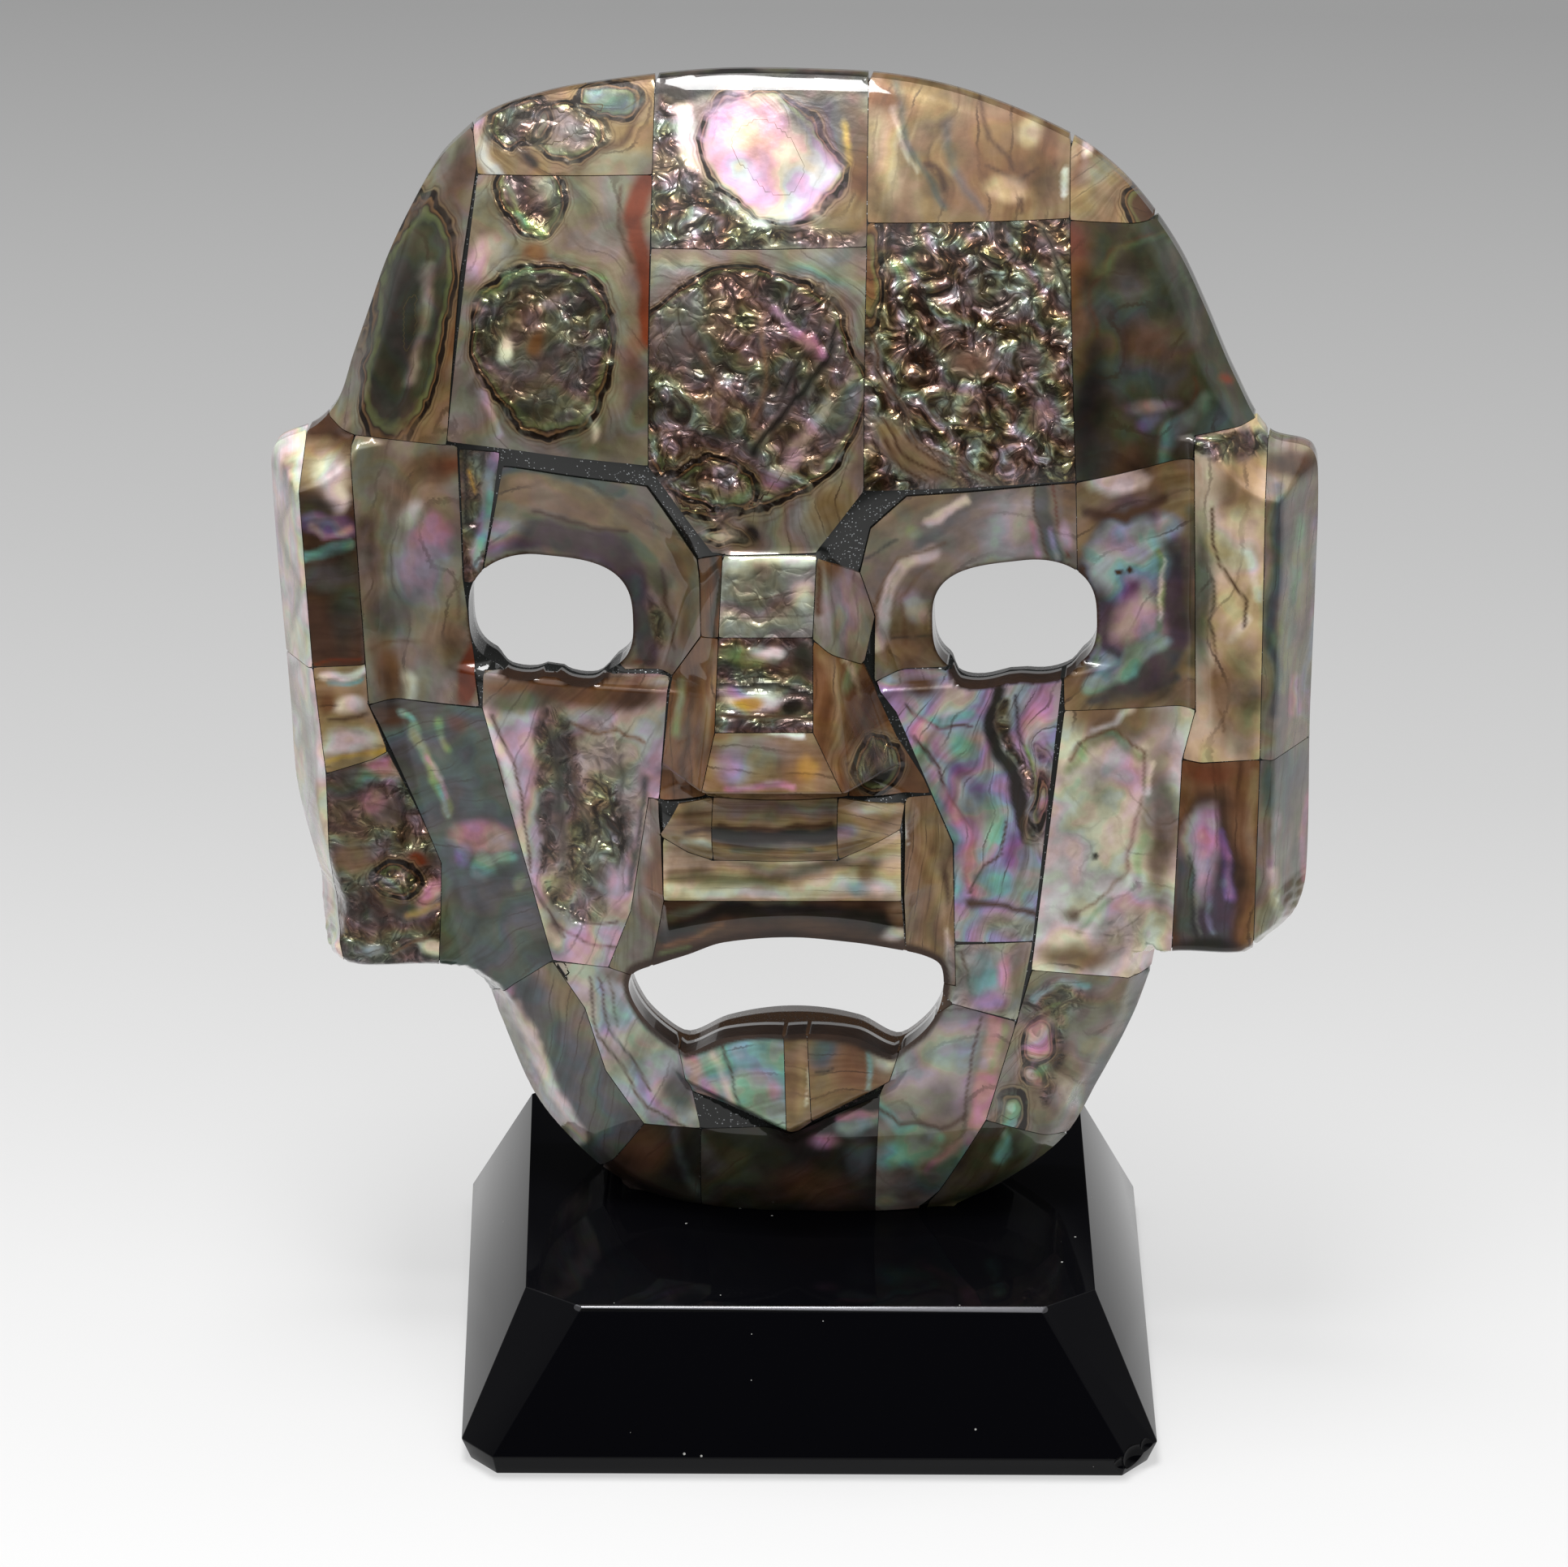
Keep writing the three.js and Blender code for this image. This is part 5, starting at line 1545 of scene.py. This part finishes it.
    "jaw_right": ("fog", (60, 24, 1.1), """
dark_foil 1300,1235 48,26 .35
sea 1270,1225>1310,1210>1340,1215 8 4
leaf 1275,1245>1310,1240 6 4 *.8
rose 1280,1280 24,30 .35 @10 rim
rose 1275,1325 16,12 .5 rim
leaf 1290,1318 12,10 .5
dark_foil 1320,1240>1310,1300>1285,1350 14 5
sea 1245,1370 14,30 .5 @10 rim
silver 1325,1340 24,18 .6 @-20
silver 1330,1300>1350,1290 12 6 *.7
fog 1370,1260 30,60 .7 @25
slate 1410,1200>1370,1290>1340,1350 14 6
milk 1405,1230>1380,1290 5 3 *.8
"""),
    "chin_right": ("fog", (75, 50, 0.8), """
pearl 1140,1310 56,60 .6
moss 1120,1290 40,30 .9 *.3
slate 1165,1360 40,26 .7 *.6
lilac 1200,1300 16,60 .7 @6 *.6
plum 1170,1250 40,10 .7 @10 *.5
sea 1082,1370>1110,1400>1160,1408 14 5
bark 1082,1372>1110,1395>1165,1398>1200,1370 5 3
sea 1115,1425 40,14 .5
rose 1225,1250>1228,1330>1210,1390 18 5 *.8
leaf 1238,1260>1232,1330 6 4 *.6
bark 1205,1260>1208,1330>1195,1380 3 2
rose 1200,1400>1170,1430>1150,1450 10 5 *.8
sea 1190,1420>1160,1455 12 6 *.7
slate 1160,1465 50,20 .7
"""),
    "chin_right_out": ("olive", (40, 26, 1.0), """
sea 1240,1400>1230,1420 10 6 *.6
moss 1290,1390 30,40 .7 @20
"""),
    # Chin: the soot ground here and on the left chin is partly the shell's dark colour and partly a painted
    # reflection of the black stone below.
    "chin_middle": ("soot", (60, 34, 1.0), """
olive 900,1440 50,40 .8
slate 860,1400>880,1440 12 8 *.7
rose 1020,1410 16,8 .8 *.5
sea 1045,1395>1080,1385 14 6 *.7
rose 1040,1385>1080,1378 8 4 *.7
slate 1060,1430 12,24 .6 *.7
bark 1000,1460 50,20 .8
"""),
    # The soot ground is partly a painted reflection of the black stone below.
    "chin_left": ("soot", (30, 30, 1.0), """
milk 700,1400>740,1440 8 5 *.6
bark 790,1420 40,30 .7
slate 840,1400>860,1460 10 6 *.6
"""),
    "lower_lip_left": ("sea", (80, 34, 0.6), """
rose 845,1290>860,1330>870,1350 18 5
milk 870,1280>885,1330>895,1355 8 4 *.7
bark 882,1278>892,1320>905,1360 3 2
sky 930,1290 30,20 .7 *.7
rose 955,1345 10,12 .6 *.6
lilac 940,1320 20,14 .8 *.5
"""),
    "lower_lip_ridge": ("horn", (90, 30, 0.6), """
sand 985,1270>990,1360 14 6
milk 1000,1320>998,1355 4 3 *.8
"""),
    "lower_lip_right": ("horn", (90, 22, 0.6), """
slate 1012,1290 18,22 .5
tobacco 1050,1310 20,34 .6
milk 1085,1300 18,16 .5 *.8
sea 1065,1290>1063,1340 5 3 *.8
soot 1003,1316>1027,1312 3 2
bark 1080,1345 40,8 .5 @-20
"""),
    # Top of the upper lip: the long milk line along its ridge is a painted highlight.
    "lip_top": ("cream", (90, 14, 0.3), """
milk 830,1096>1105,1096 14 6 *.9
moss 830,1080>1080,1070 16 8 *.75
sea 1060,1100 16,8 .6 *.7
tobacco 1070,1080 12,14 .6 *.7
"""),
    # Underside of the upper lip: the broad soot band is painted shade.
    "lip_under": ("bark", (90, 16, 0.4), """
soot 820,1150>900,1130>1000,1125>1090,1140 22 8
moss 830,1125>900,1115>980,1110 10 6 *.8
leaf 815,1178>850,1170 8 4 *.7
milk 1105,1152 20,7 .5 *.8
horn 1110,1125 20,14 .6
tobacco 820,1165>900,1150 5 3
"""),
    "wing_left": ("sand", (90, 14, 0.3), """
bark 850,1018>880,1022 8 4
milk 845,1032>878,1040 8 4 *.9
horn 850,1000 24,10 .6
"""),
    # Wings of the nose: the broad soot band under their roll is painted shade.
    "wing_middle": ("sand", (90, 9, 0.3), """
fog 885,1000>1030,1000 20 8
soot 880,1028>950,1036>1032,1030 22 5
bark 885,1018>960,1024>1032,1018 6 3
slate 900,1045>1000,1047 8 5 *.7
horn 880,1058>1030,1058 8 4
"""),
    "wing_right": ("sand", (100, 14, 0.3), """
lilac 1045,1025 16,8 .6 *.6
horn 1040,1050>1090,1030>1110,1010 10 5
milk 1080,1000 24,8 .7 *.6
"""),
    # Left fold: the silver streak near its top is a painted highlight.
    "fold_left": ("fog", (0, 16, 0.6), """
silver 798,1010>796,1060 12 6 *.9
rust 812,1080 12,44 .5 *.8
tobacco 812,1090 8,40 .5
fog 790,1160 20,30 .7
"""),
    "fold_right": ("horn", (5, 16, 0.6), """
milk 1115,1012>1124,1042 5 2 *.9
bark 1158,1100 7,36 .4 @4
sand 1140,1050>1165,1160 14 6
milk 1160,1140>1170,1170 7 4 *.7
silver 1180,1190 12,30 .6
tobacco 1125,1080 14,40 .7 *.6
"""),
    # Root of the nose: the milk band across its top is a painted highlight.
    "nose_root": ("silver", (90, 30, 0.6), """
milk 950,690 60,12 .6
pewter 940,750 40,22 .6
milk 985,735 14,14 .8 *.6
"""),
    "nose_bridge": ("dark_foil", (90, 16, 0.8), """
leaf 925,805 26,12 .5 *.8
milk 945,800 14,8 .6
olive 985,810 22,16 .6
soot 890,838>940,840>1000,846 8 4
milk 930,865 38,18 .4
gold 923,868 18,12 .4
lilac 905,850 20,8 .6
soot 978,870 14,18 .4
bark 890,888>1000,890 7 4
"""),
    # Nose tip: the milk line along its upper step and the pale pink line along its lower edge are painted
    # highlights.
    "nose_tip": ("horn", (95, 26, 0.5), """
milk 905,902>990,902 8 3
fog 930,930 40,18 .8
lilac 900,945 18,16 .7 *.7
gold 1000,945 16,14 .6 *.7
rust 990,955 16,12 .8 *.4
rose 890,968>980,970 7 4 *.8
"""),
    "nose_left_top": ("tobacco", (0, 14, 0.5), """
olive 885,690>880,780 10 6
bark 900,700>905,780 6 4
"""),
    "nose_left": ("tobacco", (0, 24, 0.8), """
horn 880,810>872,960 12 6
leaf 838,830>832,900 8 5 *.6
bark 856,820>842,960 10 6
"""),
    "nose_right_top": ("fog", (5, 30, 0.6), """
blush 1035,745 24,40 .8 *.5
bark 1004,700>1002,760 8 4
tobacco 1022,700 14,20 .6
"""),
    "nose_right": ("tobacco", (5, 26, 0.8), """
horn 1018,800>1030,960 14 6
leaf 1042,830 8,20 .6 @20 *.5
cream 1038,800>1058,870 6 3 *.8
bark 1065,880 24,40 .7
dark_foil 1085,940 30,28 .4 rim
soot 1090,950 18,14 .5
"""),
}
print("painted pieces:", len(PAINT))

# %% [markdown]
# One shader serves all the shell. The colour painted on the mesh is its base. Iridescence changes
# only its hue. Growth lines are thin brown contours. Crinkled parts get a foil's bumps, black
# creases and brown stains. Over it all lies the polish: a clear coat with a normal of its own,
# so the surface mirrors calmly while the nacre below it glitters.

# %% Polished abalone
BEND, BEND_REACH = dict(size=4.0, detail=1.5), 7.0
CLOUD = dict(size=5.0, detail=5.0)
GRAIN = dict(size=0.7, detail=3.0)
FOLD, FOLD_STRETCH = dict(size=5.0, detail=1.5), (1.3, 1.0, 0.72)
STAIN = dict(size=3.2, detail=3.0)
FACET = dict(size=2.2, detail=1.0)
STRATA, STRATA_SIZE, STRATA_PER_LINE = dict(size=1.0, detail=2.5), 14.0, 1.7
HUE, HUE_TURNS, HUE_PER_LINE = dict(size=6.0, detail=2.0), 2.6, 0.31
BULGE_SIZE, BUD_SIZE = 4.2, 1.9
SHARPNESS = dict(pillow=2.4, bulge=10.0, bud=9.0, fold=24.0, brown=3.4)
LAYER_STRENGTH = 1.6
LINES = dict(share=0.06, waver=0.2, strength=1.8, amount=1.5)
LINE_PATCHES, CREASE_PATCHES, SKIN_PATCHINESS = (0.42, 5.0), (0.4, 7.0), (3.2, 0.75)
CREASE = dict(pillow=0.85, cover=0.92, stain=0.75)
SKIN_WANDER, SKIN_HALF = 0.9, 1.5
BUMPS = dict(fold=2.6, grain=0.04, bulge=0.42, bud=0.1, mean=1.7, strata=0.05, cloud=0.1)
BUMP_DEPTH = 1.6
METAL = 0.8
NACRE = [
    (0.0, "#d07ba4"), (0.18, "#dcb87e"), (0.34, "#86b56c"), (0.52, "#55b0a8"), (0.7, "#7389cc"),
    (0.86, "#a96fbb"), (1.0, "#d07ba4"),
]
CLOUD_TONES = [(0.25, "#9a958f"), (0.5, "#dad6d0"), (0.75, "#ffffff")]
LAYER_TONES = [(0.3, "#a1866a"), (0.44, "#e0d6c7"), (0.56, "#ffffff"), (0.7, "#d8cdbe")]
FACET_TONES = [(0.38, "#6a5a48"), (0.5, "#c9bda8"), (0.6, "#ffffff")]
SKIN_TONES = [
    (0.1, "#7c8a4a", 0.0), (0.25, "#6f7a44", 0.35), (0.34, "#24150b", 0.85), (0.41, "#6b4c2a", 0.7),
    (0.45, "#160f0a", 1.0), (0.59, "#1d130b", 1.0), (0.65, "#7d6647", 0.5), (0.69, "#3a2413", 0.7),
    (0.76, "#8a7454", 0.05), (0.84, "#4a3018", 0.35), (0.92, "#4a3018", 0.0),
]
COAT = {"IOR": 1.53, "Coat Weight": 1.0, "Coat IOR": 1.4}


def pillows(place, size):
    """Pillows in a warped pattern: how far a spot is from the crease, and its height."""
    gap = cells(place, size, "DISTANCE_TO_EDGE")
    off = gap.near_zero(SHARPNESS["pillow"])
    return gap, 1.0 - off * off


def abalone(name, calm_roughness):
    material, tree = new_material(name)
    place = millimetres(tree)
    amounts = [add(tree, "Attribute", output="Fac", attribute_name=key) for key in AMOUNTS]
    mirror, crinkle, iris, lines, growth, skin_edge = amounts
    tint = add(tree, "Attribute", output="Color", attribute_name="tint")

    # Noises that everything below is mixed from
    bend = clouds(place, **BEND, output="Color")
    bent = vector("MULTIPLY_ADD", bend, (BEND_REACH,) * 3, place)
    cloud = clouds(place, **CLOUD)
    grain = clouds(bent, **GRAIN)
    folds = clouds(vector("MULTIPLY", bent, FOLD_STRETCH), **FOLD)
    stain = clouds(bent, **STAIN)
    at = add(tree, "SeparateXYZ", {0: place})
    layered = {"X": growth * STRATA_PER_LINE, "Y": at["X"] / STRATA_SIZE, "Z": at["Z"] / STRATA_SIZE}
    strata = clouds(add(tree, "CombineXYZ", layered), **STRATA)

    # Hue that wanders through the colours of nacre
    wander = clouds(place, **HUE) * HUE_TURNS
    hue = (wander + growth * HUE_PER_LINE).maths("FRACT")
    coloured = between(iris, tint, colour_ramp(hue, NACRE, "EASE"), "COLOR")

    # Layers and clouds in the depth of the shell
    clouded = between(1.0, coloured, colour_ramp(cloud, CLOUD_TONES), "MULTIPLY")
    layers = between(1.0, clouded, colour_ramp(strata, LAYER_TONES), "MULTIPLY")
    clouded = between((lines * LAYER_STRENGTH).clamped(), clouded, layers)

    # Growth lines: thin, brown, and never evenly strong
    phase = (growth + grain * LINES["waver"]).maths("FRACT")
    off_line = (phase - 0.5).maths("ABSOLUTE")
    line = ((LINES["share"] - off_line) / LINES["share"]).clamped()
    line = (line * LINES["strength"]).clamped() * cloud.past(*LINE_PATCHES)
    line = line * (lines * LINES["amount"]).clamped()
    lined = between(line, clouded, "#2e1c10")

    # Bulges, folds and dark creases of the crinkled parts
    bulge_gap, bulge = pillows(bent, BULGE_SIZE)
    bud_gap, bud = pillows(bent, BUD_SIZE)
    broken = stain.past(*CREASE_PATCHES)
    wide = bulge_gap.near_zero(SHARPNESS["bulge"])
    narrow = bud_gap.near_zero(SHARPNESS["bud"]) * (1.0 - broken)
    long_fold = (folds - 0.5).maths("ABSOLUTE").near_zero(SHARPNESS["fold"])
    crease = wide.maths("MAXIMUM", narrow) * CREASE["pillow"] * broken
    crease = crease.maths("MAXIMUM", long_fold) * crinkle
    brown = bulge_gap.near_zero(SHARPNESS["brown"]) * (broken * crinkle)
    stained = between(brown * CREASE["stain"], lined, "#5a3417")
    facets = colour_ramp(clouds(bent, **FACET), FACET_TONES)
    stained = between(crinkle, stained, between(1.0, stained, facets, "MULTIPLY"))
    creased = between(crease * CREASE["cover"], stained, "#140b06")

    # Brown skins round the walled-off parts, seen edge on
    shift = (folds - 0.5) * (2.0 * SKIN_WANDER)
    skins = colour_ramp(mapped(skin_edge + shift, -SKIN_HALF, SKIN_HALF), SKIN_TONES)
    gain, least = SKIN_PATCHINESS
    patchy = (stain * gain - least).clamped()
    colour = between(skins["Alpha"] * patchy, creased, skins)

    # Bumps of the nacre under the polish
    height = folds * BUMPS["fold"] + grain * BUMPS["grain"] + bulge * BUMPS["bulge"] + bud * BUMPS["bud"]
    calm = strata * BUMPS["strata"] + cloud * BUMPS["cloud"]
    height = (height - BUMPS["mean"]) * crinkle + calm
    bump = add(tree, "Bump", {"Height": height, "Strength": 1.0, "Distance": BUMP_DEPTH * MM})

    metallic = mirror * METAL * (1.0 - crease)
    surface(tree, {
        "Base Color": colour, "Metallic": metallic, "Roughness": calm_roughness,
        "Specular IOR Level": 0.1, "Normal": bump, "Coat Roughness": 0.03, **COAT,
    })
    return material


ABALONE = {
    "shell_pearl": abalone("polished abalone, silver nacre", 0.26),
    "shell_crinkled": abalone("polished abalone, crinkled growth", 0.22),
    "shell_cloudy": abalone("polished abalone, cloudy horn", 0.34),
    "shell_rainbow": abalone("polished abalone, rainbow nacre", 0.28),
    "shell_smoky": abalone("polished abalone, smoky edge", 0.3),
}
SLOT_OF = {row["node"]: row["material_slot"] for row in frame["record"]["subparts"]}
for number, (node, piece) in enumerate(shell.items()):
    ground, flow, marks = PAINT[node.removeprefix("shell_")]
    paint(piece, ground, flow, marks_from(marks), PIECE_SEEDS[0] * number + PIECE_SEEDS[1])
    piece.data.materials.clear()
    piece.data.materials.append(ABALONE[SLOT_OF[node]])
    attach(piece, "root")
    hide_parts(node)
print("materials of shell:", len(ABALONE))

# %% [markdown]
# The black resin was filled with fine silver flecks before it set, and polished with the shell. The
# flecks are metal, so they flash, and they lie in drifts.

# %% Flecked resin
FLECK_SIZE, FLECK_HALF = 0.22, 0.42
DRIFT, DRIFT_SHARE, FEWEST = dict(size=5.0, detail=3.0), 0.75, 1.25


def flecked_resin():
    material, tree = new_material("casting resin, black with silver flecks, polished")
    place = millimetres(tree)
    grains = cells(place, FLECK_SIZE)
    limit = FEWEST - clouds(place, **DRIFT) * DRIFT_SHARE
    fleck = (add(tree, "SeparateColor", {"Color": grains["Color"]}) > limit) * (grains < FLECK_HALF)
    near_mouth = add(tree, "Attribute", output="Fac", attribute_name="brown_skin")
    ground = between(near_mouth, "#1a1b1a", "#4a3422")
    surface(tree, {
        "Base Color": between(fleck, ground, "#8f9294"), "Metallic": fleck, "Roughness": 0.3,
        "Specular IOR Level": 0.0, "Coat Roughness": 0.05, **COAT,
    })
    return material


core.data.materials.clear()
core.data.materials.append(flecked_resin())
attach(core, "root")
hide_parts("core")
print("core done")

# %% [markdown]
# Black glass polished to a mirror shows the room more than itself. What tells the eye that it is a
# real surface is a little dust and an uneven polish. A thin strip along the eased front edge is a
# painted highlight: lighter grey, metallic and a little rougher, so it shines as a bright line.

# %% Polished black stone
PAINTED_SHEEN_REACH = 0.6
DUST_SIZE, DUST_HALF, DUST_RARE = 2.2, 0.085, 0.72
SMEAR = dict(size=14.0, detail=4.0)
ROUGHNESS = dict(smear=0.1, dust=0.6, worn=0.14)


def black_stone():
    material, tree = new_material("obsidian, sawn and polished, a little dusty")
    place = millimetres(tree)
    specks = cells(place, DUST_SIZE)
    pick = add(tree, "SeparateColor", {"Color": specks["Color"]})
    dust = (specks < pick["Green"] * DUST_HALF) * (pick["Red"] > DUST_RARE)
    colour = between(dust, "#050507", "#8d8d8a")
    # Painted highlight: within a short reach of the top front edge the stone turns lighter grey and
    # metallic.
    turned = add(tree, "VectorRotate", {"Vector": place, "Angle": -STAND_TURN}, rotation_type="Z_AXIS")
    off_edge = vector("SUBTRACT", turned, (0.0, -TOP_HALF[1], STAND_TOP))
    off_edge = vector("MULTIPLY", off_edge, (0, 1, 1))
    worn = vector("LENGTH", off_edge)["Value"] < PAINTED_SHEEN_REACH
    roughness = clouds(place, **SMEAR) * ROUGHNESS["smear"] + dust * ROUGHNESS["dust"]
    surface(tree, {
        "Base Color": between(worn, colour, "#57575a"), "Metallic": worn,
        "Roughness": roughness + worn * ROUGHNESS["worn"], "IOR": 1.5, "Specular IOR Level": 0.1,
    })
    return material


stand.data.materials.clear()
stand.data.materials.append(black_stone())
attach(stand, "root")
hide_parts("stand")
print("stand done")

# %% [markdown]
# The mask was photographed in a soft white room. A pale floor runs far back. Its brightness is a
# painted fall-off of light, white round the mask, grey far behind and dark far in front, and it
# glows of itself, so shadows on it stay faint. One soft box hangs overhead, and its edges draw the
# crisp white band along the top of the mask. A fill from the front gives diffuse light only, so the
# stone still mirrors a dark room.

# %% Floor and light
FLOOR_HALF = 4.0
FLOOR_LIGHT_FALLOFF = [
    (-600, 0.12), (-260, 0.35), (-110, 1.0), (-59, 1.06), (6, 0.975), (78, 0.845), (158, 0.712),
    (248, 0.607), (350, 0.507), (466, 0.388),
]
GLOW, PAINT_DEPTH = 0.5, 0.2
FRONT_DARK, SIDES, BEHIND, ABOVE = 0.04, 0.5, 0.05, 1.5
BEHIND_FROM, ABOVE_FROM, FRONT_FROM = (0.35, 0.7), (0.5, 0.85), (-0.1, 0.5)
FRONT_WAY = dict(back=-1.0, down=-0.7)
MASK_MIDDLE = (0, 0, 0.1)
OVERHEAD = dict(place=(-0.105, 0.035, 1.0), aim=(-0.105, 0.035, 0.0), size=(0.29, 0.5), power=12)
FILL = dict(place=(0.1, -1.2, 0.5), aim=MASK_MIDDLE, size=(1.2, 0.8), power=8)


def floor():
    mesh = bpy.data.meshes.new("floor")
    corners = [(-1, -1, 0), (1, -1, 0), (1, 1, 0), (-1, 1, 0)]
    mesh.from_pydata([Vector(corner) * FLOOR_HALF for corner in corners], [], [(0, 1, 2, 3)])
    made = new_object("floor", mesh)
    material, tree = new_material("studio floor, painted fall-off of light and glow")
    depth = add(tree, "SeparateXYZ", {0: add(tree, "TexCoord", output="Object")})["Y"]
    near, far = FLOOR_LIGHT_FALLOFF[0][0] * MM, FLOOR_LIGHT_FALLOFF[-1][0] * MM
    tones = [((y * MM - near) / (far - near), tone) for y, tone in FLOOR_LIGHT_FALLOFF]
    # Painted light: the floor's colour and its glow both follow this fall-off along its depth.
    light = colour_ramp(mapped(depth, near, far), tones)
    surface(tree, {
        "Base Color": between(1.0, light, (*linear(PAINT_DEPTH), 1.0), "MULTIPLY"),
        "Roughness": 1.0, "Specular IOR Level": 0.0, "Emission Color": light, "Emission Strength": GLOW,
    })
    mesh.materials.append(material)


def soft_box(name, place, aim, size, power):
    data = bpy.data.lights.new(name, "AREA")
    data.shape = "RECTANGLE"
    data.size, data.size_y = size
    data.energy = power
    made = new_object(name, data)
    made.location = place
    made.rotation_euler = (Vector(aim) - Vector(place)).to_track_quat("-Z", "Y").to_euler()
    return made


def room():
    """Light of the room by direction: dark behind the camera and the mask, pale at the sides, above."""
    world = bpy.data.worlds.new("soft room")
    bpy.context.scene.world = world
    world.use_nodes = True
    tree = world.node_tree
    tree.nodes.clear()
    way = add(tree, "SeparateXYZ", {0: add(tree, "TexCoord", output="Generated")})
    low = mapped(way["Y"], *BEHIND_FROM, SIDES, BEHIND, "SMOOTHSTEP")
    pale = mapped(way["Z"], *ABOVE_FROM, low, ABOVE, "SMOOTHSTEP")
    front = way["Z"] * FRONT_WAY["down"] + way["Y"] * FRONT_WAY["back"]
    share = mapped(front, *FRONT_FROM, pale, FRONT_DARK, "SMOOTHSTEP")
    add(tree, "OutputWorld", {"Surface": add(tree, "Background", {"Color": "#ffffff", "Strength": share})})


floor()
soft_box("overhead", **OVERHEAD)
fill = soft_box("fill", **FILL)
fill.visible_glossy = False
room()
bpy.context.scene.view_settings.view_transform = "Standard"
print("lights:", [light.name for light in bpy.data.lights])
